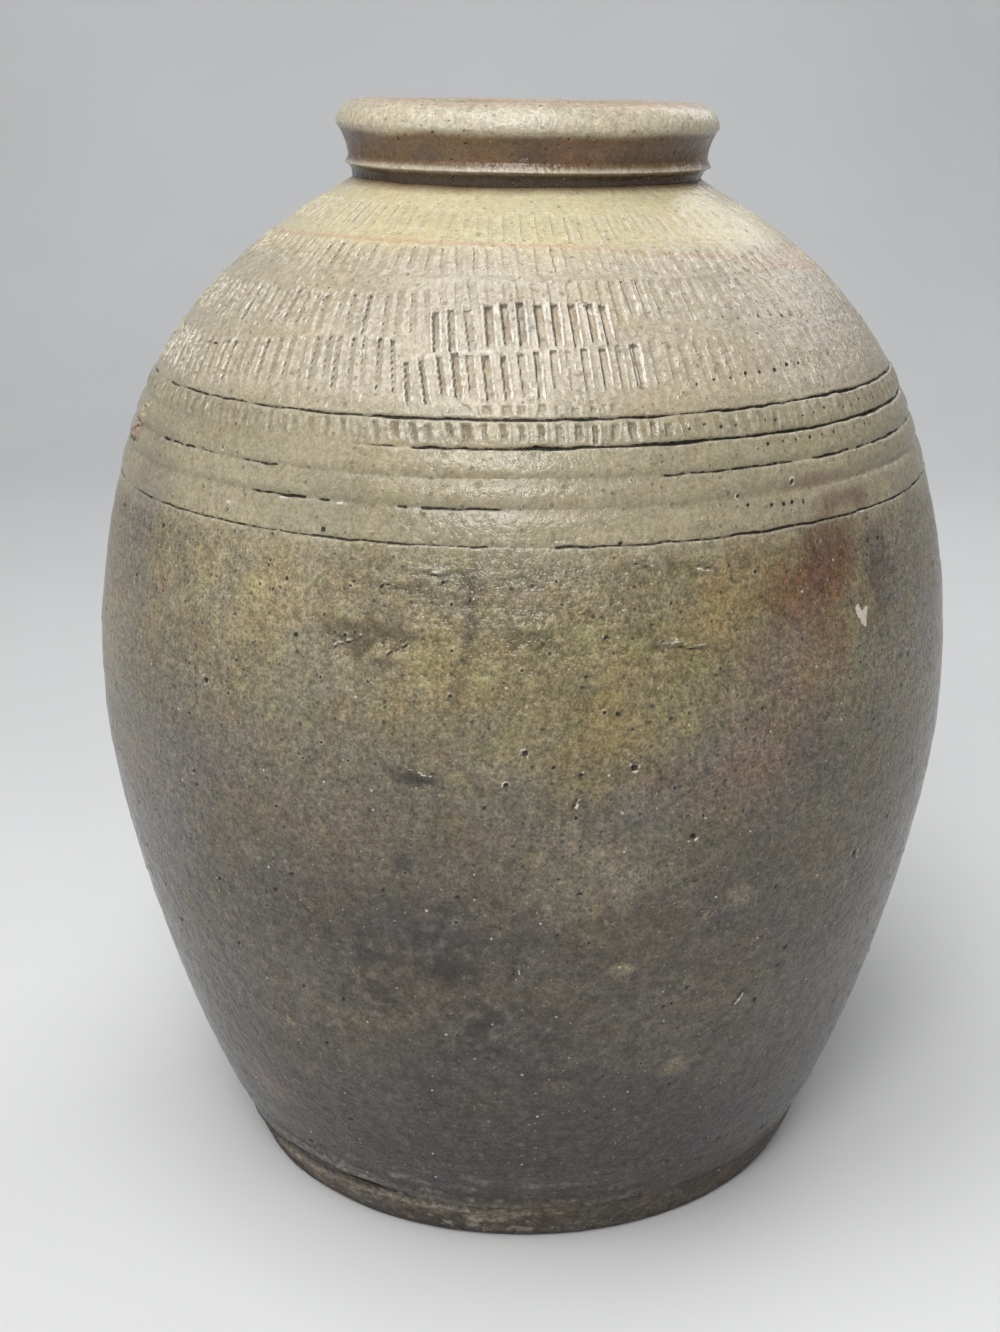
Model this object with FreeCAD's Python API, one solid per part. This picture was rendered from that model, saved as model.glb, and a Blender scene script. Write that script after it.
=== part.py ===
import FreeCAD, Part
import os

# Martaban jar: a wide-bellied stoneware storage jar, luted together from clay sections.
# Millimetres. Z is the jar's axis, the origin is the centre of the foot on the ground,
# and the decorated front faces -Y.

# Heights on the outside: the foot band above the slab, then each member above the one below it
SLAB_THICKNESS = 12.0
FOOT_BAND_LAP = 8.0
LOWER_WALL_HEIGHT = 95.0
BELLY_LOWER_HEIGHT = 107.0
BELLY_UPPER_HEIGHT = 77.0
SHOULDER_LOWER_HEIGHT = 53.0
SHOULDER_UPPER_HEIGHT = 48.0
SHOULDER_CAP_HEIGHT = 20.0
RIM_HEIGHT = 30.0

# Outer radius of the body where it is narrowest and widest
FOOT_RADIUS = 122.5
BELLY_RADIUS = 181.0
NECK_RADIUS = 71.0

# How far the wall swells out beyond straight lines from foot to belly and from belly to neck:
# part way up the lower wall, and at the top of each section
FLANK_RISE = 42.0
FLANK_SWELL = 9.7
LOWER_WALL_SWELL = 11.7
BELLY_UPPER_SWELL = 32.0
SHOULDER_SWELL = 40.0
CAP_SWELL = 22.2

# Clay thickness: the wall thins from the foot to the belly
FOOT_WALL = 14.0
FLANK_WALL = 11.0
BODY_WALL = 9.0
CORNER_COIL_SIZE = 16.0

# Foot band and lap joints
FOOT_BAND_WIDTH = 6.0
FOOT_EDGE_ROUND = 2.5
SEAM_LAP = 10.0

# Lines drawn in the wet clay: heights above the belly's upper seam, and the cut of the tool
INCISED_LINE_RISES = (8.0, 20.0, 29.5, 39.5, 48.3)
LINE_WIDTH = 2.2
LINE_DEPTH = 1.2
FOOT_LINE_WIDTH = 2.0
FOOT_LINE_DEPTH = 0.8

# Neck collar: the throat is inside the neck, the bead and the lip stand out from it
THROAT_INSET = 13.0
THROAT_ROUND = 10.0
COLLAR_WALL = 8.0
BEAD_STAND = 3.0
BEAD_RISE = 5.2
BEAD_HOLLOW = 0.8
LIP_STAND = 2.0
LIP_RISE = 8.6

# Rolled rim: how far it hangs out over the lip, and the depth of its inner and outer rounding
RIM_OVERHANG = 5.2
RIM_OUTER_DEPTH = 9.6
RIM_INNER_DEPTH = 9.0
CREST_INSET = 9.0

# Kiln scars: angle from the front towards the right, height above the belly's upper seam,
# radius of the lump, and how far it stands off the wall
SCAR_PLACES = (
    (-68.5, 34.0, 5.0, 2.4),
    (-70.0, 26.0, 4.0, 2.8),
)

# Share of a quarter turn's side at which its control points lie, so that it is nearly round
QUARTER_PULL = 0.5523

# How far a cutting outline passes beyond the surface that it cuts, in mm and, at a lap joint, in walls
OVERCUT = 2.0
SEAM_OVERRUN = 1.5

# Heights of the flank and the seams, worked out from the members
FOOT_BAND_Z = SLAB_THICKNESS + FOOT_BAND_LAP
FLANK_Z = FOOT_BAND_Z + FLANK_RISE
LOWER_WALL_Z = FOOT_BAND_Z + LOWER_WALL_HEIGHT
BELLY_Z = LOWER_WALL_Z + BELLY_LOWER_HEIGHT
BELLY_UPPER_Z = BELLY_Z + BELLY_UPPER_HEIGHT
SHOULDER_Z = BELLY_UPPER_Z + SHOULDER_LOWER_HEIGHT
CAP_Z = SHOULDER_Z + SHOULDER_UPPER_HEIGHT
NECK_Z = CAP_Z + SHOULDER_CAP_HEIGHT
RIM_Z = NECK_Z + RIM_HEIGHT

# Radii of the collar and the rim, worked out from the neck
THROAT_RADIUS = NECK_RADIUS - THROAT_INSET
COLLAR_RADIUS = THROAT_RADIUS + COLLAR_WALL
BEAD_RADIUS = NECK_RADIUS + BEAD_STAND
LIP_RADIUS = NECK_RADIUS + LIP_STAND
RIM_RADIUS = LIP_RADIUS + RIM_OVERHANG
CREST_RADIUS = THROAT_RADIUS + CREST_INSET

# The body's outline: height, swell and wall thickness at each station
BODY_STATIONS = (
    (0.0, 0.0, FOOT_WALL),
    (FLANK_Z, FLANK_SWELL, FLANK_WALL),
    (LOWER_WALL_Z, LOWER_WALL_SWELL, BODY_WALL),
    (BELLY_Z, 0.0, BODY_WALL),
    (BELLY_UPPER_Z, BELLY_UPPER_SWELL, BODY_WALL),
    (SHOULDER_Z, SHOULDER_SWELL, BODY_WALL),
    (CAP_Z, CAP_SWELL, BODY_WALL),
    (NECK_Z, 0.0, BODY_WALL),
)

# The plain wall sections, each with the seams below and above it
WALL_SECTIONS = (
    ("belly_lower", LOWER_WALL_Z, BELLY_Z),
    ("belly_upper", BELLY_Z, BELLY_UPPER_Z),
    ("shoulder_lower", BELLY_UPPER_Z, SHOULDER_Z),
    ("shoulder_upper", SHOULDER_Z, CAP_Z),
)

# A radius outside the whole body, for outlines that cut it into members
BEYOND = FOOT_RADIUS + BELLY_RADIUS + NECK_RADIUS

ORIGIN = FreeCAD.Vector(0.0, 0.0, 0.0)
UP = FreeCAD.Vector(0.0, 0.0, 1.0)


def point(radius, height):
    """A point of the jar's half section."""
    return FreeCAD.Vector(radius, 0.0, height)


def line(start, end):
    return Part.LineSegment(start, end).toShape()


def polygon(*corners):
    """A flat face of the half section, bounded by straight lines."""
    return Part.Face(Part.makePolygon(list(corners) + [corners[0]]))


def face_of(edges):
    return Part.Face(Part.Wire(edges))


def turn(face):
    """The solid that a half section makes round the jar's axis."""
    return face.revolve(ORIGIN, UP, 360)


def quarter_round(start, corner, end):
    """A smooth quarter turn from start to end, tangent to the two sides of the corner."""
    curve = Part.BezierCurve()
    leave = start + (corner - start) * QUARTER_PULL
    arrive = end + (corner - end) * QUARTER_PULL
    curve.setPoles([start, leave, arrive, end])
    return curve.toShape()


def curve_through(points):
    curve = Part.BSplineCurve()
    curve.interpolate(points)
    return curve


def outward_normal(curve, parameter):
    """The outward normal of a curve that runs from the foot up to the neck."""
    tangent = curve.tangent(parameter)[0]
    normal = FreeCAD.Vector(tangent.z, 0.0, -tangent.x)
    return normal.normalize()


def parameter_at(curve, height):
    """The parameter at which a rising curve reaches a height."""
    level = Part.Line(point(0.0, height), point(BEYOND, height))
    crossing = curve.intersectCC(level)[0]
    return curve.parameter(FreeCAD.Vector(crossing.X, crossing.Y, crossing.Z))


def point_at(curve, height):
    return curve.value(parameter_at(curve, height))


def station_point(height, swell):
    """A point of the outline: on the straight line from foot to belly or belly to neck, plus the swell."""
    if height < BELLY_Z:
        straight = FOOT_RADIUS + (BELLY_RADIUS - FOOT_RADIUS) * height / BELLY_Z
    else:
        straight = BELLY_RADIUS + (NECK_RADIUS - BELLY_RADIUS) * (height - BELLY_Z) / (NECK_Z - BELLY_Z)
    return point(straight + swell, height)


def outer_curve():
    return curve_through([station_point(height, swell) for height, swell, wall in BODY_STATIONS])


def inner_curve(outer):
    """The inside of the wall: each station moved in by the wall's thickness."""
    points = []
    for height, swell, wall in BODY_STATIONS:
        station = station_point(height, swell)
        normal = outward_normal(outer, outer.parameter(station))
        points.append(station - normal * wall)
    return curve_through(points)


def groove(outer, height, width, depth):
    """A V groove cut square to the outer surface."""
    parameter = parameter_at(outer, height)
    normal = outward_normal(outer, parameter)
    along = outer.tangent(parameter)[0]
    middle = outer.value(parameter)
    half_mouth = width / 2 * (depth + OVERCUT) / depth
    mouth = middle + normal * OVERCUT
    return polygon(middle - normal * depth, mouth + along * half_mouth, mouth - along * half_mouth)


def scraped_line(outer):
    """The line scraped round the jar where the foot band ends."""
    return groove(outer, FOOT_BAND_Z, FOOT_LINE_WIDTH, FOOT_LINE_DEPTH)


def body_face(outer):
    """Half section of the body as if it were solid, with the edge of the foot rounded off."""
    foot_in = point(FOOT_RADIUS - FOOT_EDGE_ROUND, 0.0)
    foot_corner = point(FOOT_RADIUS, 0.0)
    foot_up = point_at(outer, FOOT_EDGE_ROUND)
    top = point(0.0, NECK_Z)
    return face_of([
        line(ORIGIN, foot_in),
        quarter_round(foot_in, foot_corner, foot_up),
        outer.toShape(outer.parameter(foot_up), outer.LastParameter),
        line(outer.EndPoint, top),
        line(top, ORIGIN),
    ])


def wall_face(outer, inner):
    """Half section of the whole wall from the foot to the neck, with the lines drawn in it."""
    wall = face_of([
        outer.toShape(),
        line(outer.EndPoint, inner.EndPoint),
        inner.toShape(),
        line(inner.StartPoint, outer.StartPoint),
    ])
    for rise in INCISED_LINE_RISES:
        wall = wall.cut(groove(outer, BELLY_UPPER_Z + rise, LINE_WIDTH, LINE_DEPTH))
    return wall.cut(scraped_line(outer))


def seam_points(outer, height):
    """A lap joint's bevel: it starts on the outside and climbs along the wall as it crosses it."""
    parameter = parameter_at(outer, height)
    seam = outer.value(parameter)
    across = outward_normal(outer, parameter) * -BODY_WALL
    along = outer.tangent(parameter)[0] * SEAM_LAP
    inside = seam + (across + along) * SEAM_OVERRUN
    return point(BEYOND, height), seam, inside


def slab_edge():
    """The upper corner of the slab, where wall, band and slab meet."""
    return point(FOOT_RADIUS - FOOT_BAND_WIDTH, SLAB_THICKNESS)


def base_slab():
    edge = slab_edge()
    return turn(polygon(ORIGIN, point(edge.x, 0.0), edge, point(0.0, edge.z)))


def foot_band(outer):
    """Strip round the slab's edge, with a bevelled top that the wall stands on."""
    edge = slab_edge()
    top = point_at(outer, FOOT_BAND_Z)
    stretch = polygon(point(edge.x, 0.0), point(BEYOND, 0.0), point(BEYOND, top.z), top, edge)
    return turn(body_face(outer).common(stretch).cut(scraped_line(outer)))


def base_corner_coil(inner):
    """Coil smoothed into the inside corner, hollow like a fillet."""
    foot_of_wall = parameter_at(inner, SLAB_THICKNESS)
    up_the_wall = parameter_at(inner, SLAB_THICKNESS + CORNER_COIL_SIZE)
    corner = inner.value(foot_of_wall)
    top = inner.value(up_the_wall)
    toe = point(corner.x - CORNER_COIL_SIZE, SLAB_THICKNESS)
    return turn(face_of([
        line(toe, corner),
        inner.toShape(foot_of_wall, up_the_wall),
        quarter_round(top, corner, toe),
    ]))


def lower_wall(outer, wall):
    """First wall section, on the slab's edge and the foot band."""
    edge = slab_edge()
    foot = point_at(outer, FOOT_BAND_Z)
    outside, seam, inside = seam_points(outer, LOWER_WALL_Z)
    floor = point(0.0, edge.z)
    stretch = polygon(floor, edge, foot, point(BEYOND, foot.z), outside, seam, inside)
    return turn(wall.common(stretch))


def wall_between(outer, wall, low, high):
    """A wall section between two lap joints."""
    low_outside, low_seam, low_inside = seam_points(outer, low)
    high_outside, high_seam, high_inside = seam_points(outer, high)
    stretch = polygon(low_inside, low_seam, low_outside, high_outside, high_seam, high_inside)
    return turn(wall.common(stretch))


def shoulder_cap(outer, wall):
    """Last wall section, which closes in to the neck."""
    outside, seam, inside = seam_points(outer, CAP_Z)
    above = NECK_Z + OVERCUT
    stretch = polygon(inside, seam, outside, point(BEYOND, above), point(0.0, above))
    return turn(wall.common(stretch))


def lip_points():
    """The ledge of the collar that the rim sits on: its outer lip and its inner corner."""
    height = NECK_Z + LIP_RISE
    return point(LIP_RADIUS, height), point(COLLAR_RADIUS, height)


def collar_top():
    """The collar's upper end inside the rim: its outer and inner corner."""
    height = RIM_Z - RIM_INNER_DEPTH
    return point(COLLAR_RADIUS, height), point(THROAT_RADIUS, height)


def neck_collar(outer, inner):
    """Collar on the end of the shoulder, with the undercut bead and the throat."""
    neck = outer.EndPoint
    shoulder_end = inner.EndPoint
    bead = point(BEAD_RADIUS, NECK_Z + BEAD_RISE)
    hollow = (neck + bead) * 0.5 + point(-BEAD_HOLLOW, BEAD_HOLLOW)
    lip, ledge = lip_points()
    top_out, top_in = collar_top()
    throat_low = point(THROAT_RADIUS, shoulder_end.z + THROAT_ROUND)
    throat_corner = point(THROAT_RADIUS, shoulder_end.z)
    return turn(face_of([
        Part.Arc(neck, hollow, bead).toShape(),
        line(bead, lip),
        line(lip, ledge),
        line(ledge, top_out),
        line(top_out, top_in),
        line(top_in, throat_low),
        quarter_round(throat_low, throat_corner, shoulder_end),
        line(shoulder_end, neck),
    ]))


def rim_roll():
    """Thick rolled rim that hangs over the collar and rests on its ledge and top."""
    lip, ledge = lip_points()
    top_out, top_in = collar_top()
    crest = point(CREST_RADIUS, RIM_Z)
    bulge = point(RIM_RADIUS, RIM_Z - RIM_OUTER_DEPTH)
    return turn(face_of([
        line(ledge, lip),
        line(lip, bulge),
        quarter_round(bulge, point(RIM_RADIUS, RIM_Z), crest),
        quarter_round(crest, point(THROAT_RADIUS, RIM_Z), top_in),
        line(top_in, top_out),
        line(top_out, ledge),
    ]))


def kiln_scars(outer):
    """Low round lumps on the outer surface, cut to it at the back."""
    body = turn(body_face(outer))
    lumps = []
    for angle, rise, radius, stand_off in SCAR_PLACES:
        parameter = parameter_at(outer, BELLY_UPPER_Z + rise)
        normal = outward_normal(outer, parameter)
        centre = outer.value(parameter) - normal * (radius - stand_off)
        lump = Part.makeSphere(radius, centre, normal)
        lump.rotate(ORIGIN, UP, angle - 90.0)
        lumps.append(lump.cut(body))
    return Part.makeCompound(lumps)


def build():
    """Every member of the jar by name, from the ground up."""
    outer = outer_curve()
    inner = inner_curve(outer)
    wall = wall_face(outer, inner)
    members = {
        "base_slab": base_slab(),
        "foot_band": foot_band(outer),
        "base_corner_coil": base_corner_coil(inner),
        "lower_wall": lower_wall(outer, wall),
    }
    for name, low, high in WALL_SECTIONS:
        members[name] = wall_between(outer, wall, low, high)
    members["shoulder_cap"] = shoulder_cap(outer, wall)
    members["neck_collar"] = neck_collar(outer, inner)
    members["rim_roll"] = rim_roll()
    members["kiln_scars"] = kiln_scars(outer)
    return members


os.makedirs("parts", exist_ok=True)
for name, shape in build().items():
    shape.exportStep("parts/" + name + ".step")
    print(name, len(shape.Solids), "solids", round(shape.Volume / 1000.0, 1), "cm3", shape.isValid())
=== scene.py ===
import math
from dataclasses import dataclass

import bmesh
import bpy
import numpy as np
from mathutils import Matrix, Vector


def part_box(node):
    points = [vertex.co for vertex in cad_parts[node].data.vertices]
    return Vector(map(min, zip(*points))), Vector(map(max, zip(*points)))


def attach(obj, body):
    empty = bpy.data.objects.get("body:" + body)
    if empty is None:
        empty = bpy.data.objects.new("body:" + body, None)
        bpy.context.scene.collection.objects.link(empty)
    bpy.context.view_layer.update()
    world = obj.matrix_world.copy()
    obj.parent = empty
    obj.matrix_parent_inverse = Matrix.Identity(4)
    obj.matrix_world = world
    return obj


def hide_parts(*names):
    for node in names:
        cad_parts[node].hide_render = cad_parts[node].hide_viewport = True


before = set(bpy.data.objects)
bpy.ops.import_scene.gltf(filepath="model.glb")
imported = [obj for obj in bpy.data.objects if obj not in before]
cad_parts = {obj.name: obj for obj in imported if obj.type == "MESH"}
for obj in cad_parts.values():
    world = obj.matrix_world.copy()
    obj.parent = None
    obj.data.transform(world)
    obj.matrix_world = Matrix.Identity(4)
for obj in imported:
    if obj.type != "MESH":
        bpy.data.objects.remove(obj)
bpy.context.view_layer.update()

# Lengths are in millimetres, in the jar's own frame: Z is the axis, the origin is the centre of the foot on
# the ground. Materials, lamps and camera are in metres. Angles run from the front (-Y) to the right (+X).
MM = 0.001
TURN = 2 * math.pi

# Heights of the jar's seams, from the ground up
SLAB_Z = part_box("base_slab")[1].z / MM
FOOT_BAND_Z = 20.0
LOWER_WALL_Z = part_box("belly_lower")[0].z / MM
BELLY_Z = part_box("belly_upper")[0].z / MM
BELLY_UPPER_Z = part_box("shoulder_lower")[0].z / MM
SHOULDER_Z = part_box("shoulder_upper")[0].z / MM
CAP_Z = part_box("shoulder_cap")[0].z / MM
NECK_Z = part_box("shoulder_cap")[1].z / MM
RIM_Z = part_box("rim_roll")[1].z / MM

# The body's outline: outer radius and height, from the foot to the neck
OUTLINE = np.array((
    (122.5, 0.0),
    (148.5, 62.0),
    (164.5, LOWER_WALL_Z),
    (181.0, BELLY_Z),
    (170.2, BELLY_UPPER_Z),
    (148.8, SHOULDER_Z),
    (104.3, CAP_Z),
    (71.0, NECK_Z),
))
OUTLINE_SAMPLES = 2000

# Clay: wall thickness by height, lap joints, foot, the coil inside it and the ripple of the wall's coils
WALL_HEIGHTS = (0.0, 62.0, LOWER_WALL_Z)
WALL_THICKNESS = (14.0, 11.0, 9.0)
SEAM_LAP = 10.0
SLAB_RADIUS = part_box("base_slab")[1].x / MM
FOOT_ROUND = 2.5
COIL_SIZE = 16.0
COIL_SPACING = 36.0
COIL_RIPPLE = 0.7

# Neck and rim: radii, and heights above the neck or below the rim
THROAT_RADIUS = 58.0
THROAT_ROUND = 10.0
COLLAR_RADIUS = 66.0
BEAD_RADIUS = 74.6
BEAD_RISE = 5.2
BEAD_HOLLOW = 0.8
LIP_RADIUS = 73.0
LIP_RISE = 8.6
RIM_RADIUS = 77.6
RIM_OUTER_DEPTH = 9.6
RIM_INNER_DEPTH = 9.0
CREST_RADIUS = 67.0
FLANK_HOLLOW = 1.1
QUARTER_PULL = 0.5523

# The neck and rim sit a little to the right and tilt down that way
LEAN_LOW = 404.0
LEAN_HIGH = 428.0
NECK_SHIFT = 2.2
NECK_TILT = math.radians(0.9)

# Mesh columns round the jar, and steps between rows
UPPER_COLUMNS = 1300
LOWER_COLUMNS = 960
RIM_COLUMNS = 720
COIL_COLUMNS = 240
COARSE_STEP = 1.3
SCRAPE_STEP = 0.85
SHOULDER_STEP = 1.0
CAP_STEP = 0.7
FINE_STEP = 0.45
FINE_REACH = 0.9
INNER_STEP = 9.0


def tone(*levels):
    """Linear light of a colour whose red, green and blue run from 0 to 255."""
    share = np.array(levels) / 255.0
    return np.where(share <= 0.04045, share / 12.92, ((share + 0.055) / 1.055) ** 2.4)


# Colours of the surface in even light; three of them also stand for light and shade, as marked below
FOOT_BROWN = tone(80, 73, 66)
DARK_UMBER = tone(60, 55, 52)
UMBER = tone(69, 63, 58)
SMOKE = tone(62, 57, 54)
LOW_OLIVE = tone(86, 79, 69)
MID_OLIVE = tone(106, 99, 82)
BELLY_OLIVE = tone(132, 123, 100)
GOLD_OLIVE = tone(131, 120, 85)
GREEN_OLIVE = tone(125, 122, 98)
GREY_OLIVE = tone(158, 149, 123)
STROKE_GREY = tone(178, 167, 144)
KHAKI = tone(202, 191, 156)
NECK_BROWN = tone(110, 86, 60)
# Painted shadow under the bead of the neck
PAINTED_BEAD_SHADOW = tone(60, 48, 35)
RIM_PALE = tone(194, 185, 163)
PALE_STONE = tone(198, 188, 173)
SALMON = tone(190, 152, 130)
RUST = tone(106, 76, 58)
PLUM = tone(88, 78, 80)
GOLD_BROWN = tone(138, 110, 70)
RED_BROWN = tone(122, 100, 86)
MAUVE = tone(112, 104, 102)
BEIGE = tone(178, 166, 134)
TAN = tone(120, 107, 92)
SCAR_PINK = tone(158, 136, 124)
INSIDE_CLAY = tone(112, 96, 78)
# Pale thin glaze on crests and lips, also standing for their painted highlights and for painted glints
PALE_GLAZE_AND_HIGHLIGHT = tone(225, 218, 201)
WORN_FLOOR = tone(146, 127, 98)
# Pooled glaze, also standing for painted shade in hollows, grooves, slits and pits
POOLED_GLAZE_AND_SHADE = tone(30, 25, 20)


def smooth(value, low=0.0, high=1.0):
    """From 0 at low to 1 at high, with no corners. Low may be the larger of the two."""
    share = np.clip((value - low) / (high - low), 0.0, 1.0)
    return share * share * (3 - 2 * share)


def between(value, low, high, ease):
    """1 from low to high, running out to 0 at both ends over the ease."""
    return smooth(value, low, low + ease) * smooth(value, high, high - ease)


def bell(distance, half):
    """1 at no distance, falling off softly over the half width."""
    return np.exp(-(distance / half)**2)


def blend(ground, colour, share):
    """A ground colour taken towards another colour by a share at each point."""
    return ground + (colour - ground) * share[..., None]


def natural_curve(knots, values, places):
    """The smooth curve through values at knots, read at places, straight at both ends."""
    gaps = np.diff(knots)
    slopes = np.diff(values) / gaps
    count = len(knots)
    system = np.eye(count)
    wanted = np.zeros(count)
    for i in range(1, count - 1):
        system[i, i - 1:i + 2] = gaps[i - 1], 2 * (gaps[i - 1] + gaps[i]), gaps[i]
        wanted[i] = 6 * (slopes[i] - slopes[i - 1])
    bends = np.linalg.solve(system, wanted)
    span = np.clip(np.searchsorted(knots, places) - 1, 0, count - 2)
    gap = gaps[span]
    after = places - knots[span]
    before = gap - after
    cubic = (bends[span] * before**3 + bends[span + 1] * after**3) / (6 * gap)
    start = (values[span] / gap - bends[span] * gap / 6) * before
    end = (values[span + 1] / gap - bends[span + 1] * gap / 6) * after
    return cubic + start + end


def outline_samples():
    """Closely spaced radii and heights of the outline, with the direction of its tangent."""
    chords = np.hypot(*np.diff(OUTLINE, axis=0).T)
    knots = np.append(0.0, np.cumsum(chords))
    along = np.linspace(0.0, knots[-1], OUTLINE_SAMPLES)
    radius, height = (natural_curve(knots, values, along) for values in OUTLINE.T)
    run = np.gradient(radius)
    rise = np.gradient(height)
    length = np.hypot(run, rise)
    return radius, height, run / length, rise / length


LINE_R, LINE_Z, LINE_RUN, LINE_RISE = outline_samples()


def outline_at(height):
    """Radius of the outline at a height, and the run and rise of its tangent."""
    return tuple(np.interp(height, LINE_Z, column) for column in (LINE_R, LINE_RUN, LINE_RISE))


def inner_point(height):
    """Radius and height on the inside of the wall, straight across from a height on the outside."""
    radius, run, rise = outline_at(height)
    wall = np.interp(height, WALL_HEIGHTS, WALL_THICKNESS)
    return radius - rise * wall, height + run * wall


def lap_end(seam):
    """Height on the outside that lies across from the inner end of a lap joint."""
    return seam + SEAM_LAP * outline_at(seam)[2]


def quarter_round(start, corner, end, count):
    """Points of a smooth quarter turn from start to end, tangent to the corner's two sides."""
    start, corner, end = (np.array(p) for p in (start, corner, end))
    leave = start + (corner - start) * QUARTER_PULL
    arrive = end + (corner - end) * QUARTER_PULL
    t = np.linspace(0.0, 1.0, count)[:, None]
    return start * (1 - t)**3 + 3 * leave * t * (1 - t)**2 + 3 * arrive * t**2 * (1 - t) + end * t**3


def bow(start, end, pull, count):
    """Points from start up to, but not including, end, with the middle of the line between them drawn
    aside by half the pull."""
    start, end = np.array(start), np.array(end)
    t = np.linspace(0.0, 1.0, count, endpoint=False)[:, None]
    middle = (start + end) / 2 + pull
    return start * (1 - t)**2 + 2 * middle * t * (1 - t) + end * t**2


def wrap(angle):
    """An angle brought to within half a turn of the front."""
    return (angle + math.pi) % TURN - math.pi


def ring_angles(columns):
    """Angles of a number of columns round the jar, from the back through the front."""
    return (np.arange(columns) / columns - 0.5) * TURN


def sway(angle, seed, size):
    """A slow unsteady drift round the jar, as a hand makes it."""
    rng = np.random.default_rng(seed)
    total = np.zeros_like(angle)
    for turns in (1, 2, 3, 5, 8, 13):
        total += rng.uniform(-1, 1) / turns * np.sin(turns * angle + rng.uniform(0, TURN))
    return size * total


MEAN_RADIUS = 150.0


def lumps(angle, height, around, up, seed):
    """Smooth noise from -1 to 1 on the wall, with lumps of the given width round it and up it."""
    cells = max(3, round(TURN * MEAN_RADIUS / around))
    levels = int(RIM_Z / up) + 4
    lattice = np.random.default_rng(seed).uniform(-1, 1, (levels, cells))
    u = (angle / TURN + 0.5) * cells
    v = height / up + 1
    column = np.floor(u).astype(int)
    row = np.floor(v).astype(int)
    share = smooth(u - column)
    low, high = (lattice[level, column % cells] * (1 - share) + lattice[level, (column + 1) % cells] * share
                 for level in (row, row + 1))
    share = smooth(v - row)
    return low * (1 - share) + high * share


def row_heights(low, high, step, edges):
    """Heights of mesh rows from low to high, closer together near the edges of cut marks."""
    rows = [low]
    while rows[-1] < high:
        nearest = min((abs(rows[-1] - edge) for edge in edges), default=math.inf)
        rows.append(rows[-1] + min(max(nearest - FINE_REACH, FINE_STEP), step))
    rows[-1] = high
    return rows


# What is known of each point besides its colour: soft painted shade in hollows, with pooled glaze, worn
# floors of strokes, pale crests of thin glaze with painted highlights, bare clay, coarse glaze, and two
# crisp-edged marks whose
# edge lies at one half: pooled shade, which is painted shade with pooled glaze in grooves, slits and pits,
# and pale lips of thin glaze with painted highlights
MARKS = ("hollow", "floor", "crest", "bare", "coarse", "ink", "lip")
EDGE_REACH = 3.0

# How far drawn lines and rows of strokes wander up and down
DRIFT = 0.7


def edge_share(depth):
    """A crisp-edged mark's value for how far inside its shape a point lies."""
    return np.clip(0.5 + depth / EDGE_REACH, 0, 1)


class Skin:
    """A grid on part of the jar's outer face, with its relief and colours."""

    def __init__(self, sections, columns, edges=()):
        """Sections are names with a low and a high seam and a row step. The rows follow the drift
        of the drawn lines, whose heights are edges, and lie still at the first and last seam."""
        rows = [sections[0][1]]
        self.spans = {}
        for name, low, high, step in sections:
            first = self.spans.get(name, (len(rows) - 1,))[0]
            rows += row_heights(low, high, step, edges)[1:]
            self.spans[name] = (first, len(rows))
        self.rows = np.array(rows)
        self.angle = ring_angles(columns)
        still = np.zeros(columns)
        places = [rows[0], *edges, rows[-1]]
        paths = np.array([still, *(sway(self.angle, round(edge), DRIFT) for edge in edges), still])
        weights = np.array([np.interp(self.rows, places, unit) for unit in np.eye(len(places))])
        self.height = self.rows[:, None] + weights.T @ paths
        self.turn = np.broadcast_to(self.angle, self.height.shape)
        self.degrees = np.degrees(self.turn)
        self.radius, self.run, self.rise = outline_at(self.height)
        self.relief = np.zeros(self.height.shape)
        self.ground = np.zeros(self.height.shape + (3,))
        self.marks = {name: np.zeros(self.height.shape) for name in MARKS}

    def near(self, angle, height, half_width, half_height):
        """Indices of the points near a place, and their distances across and up the wall from it."""
        rows = np.flatnonzero(abs(self.rows - height) < half_height + DRIFT * 2)
        offset = wrap(self.angle - angle)
        columns = np.flatnonzero(abs(offset) * outline_at(height)[0] < half_width)
        window = np.ix_(rows, columns)
        across = offset[columns] * self.radius[window]
        up = (self.height[window] - height) / self.rise[window]
        return window, across, up

    def lumps(self, around, up, seed):
        """Smooth noise from -1 to 1 at each point."""
        return lumps(self.turn, self.height, around, up, seed)

    def beside(self, degrees, half):
        """A soft share round an angle, with its half width in radians."""
        return bell(wrap(self.turn - math.radians(degrees)), half)

    def tint(self, mark, share, window=...):
        """Raises one of the marks inside a window to at least the given share."""
        values = self.marks[mark]
        values[window] = np.maximum(values[window], share)

    def draw(self, mark, depth, window=...):
        """Adds a shape with a crisp edge to a mark. Depth is how far inside the shape each point lies."""
        self.tint(mark, edge_share(depth), window)


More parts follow.
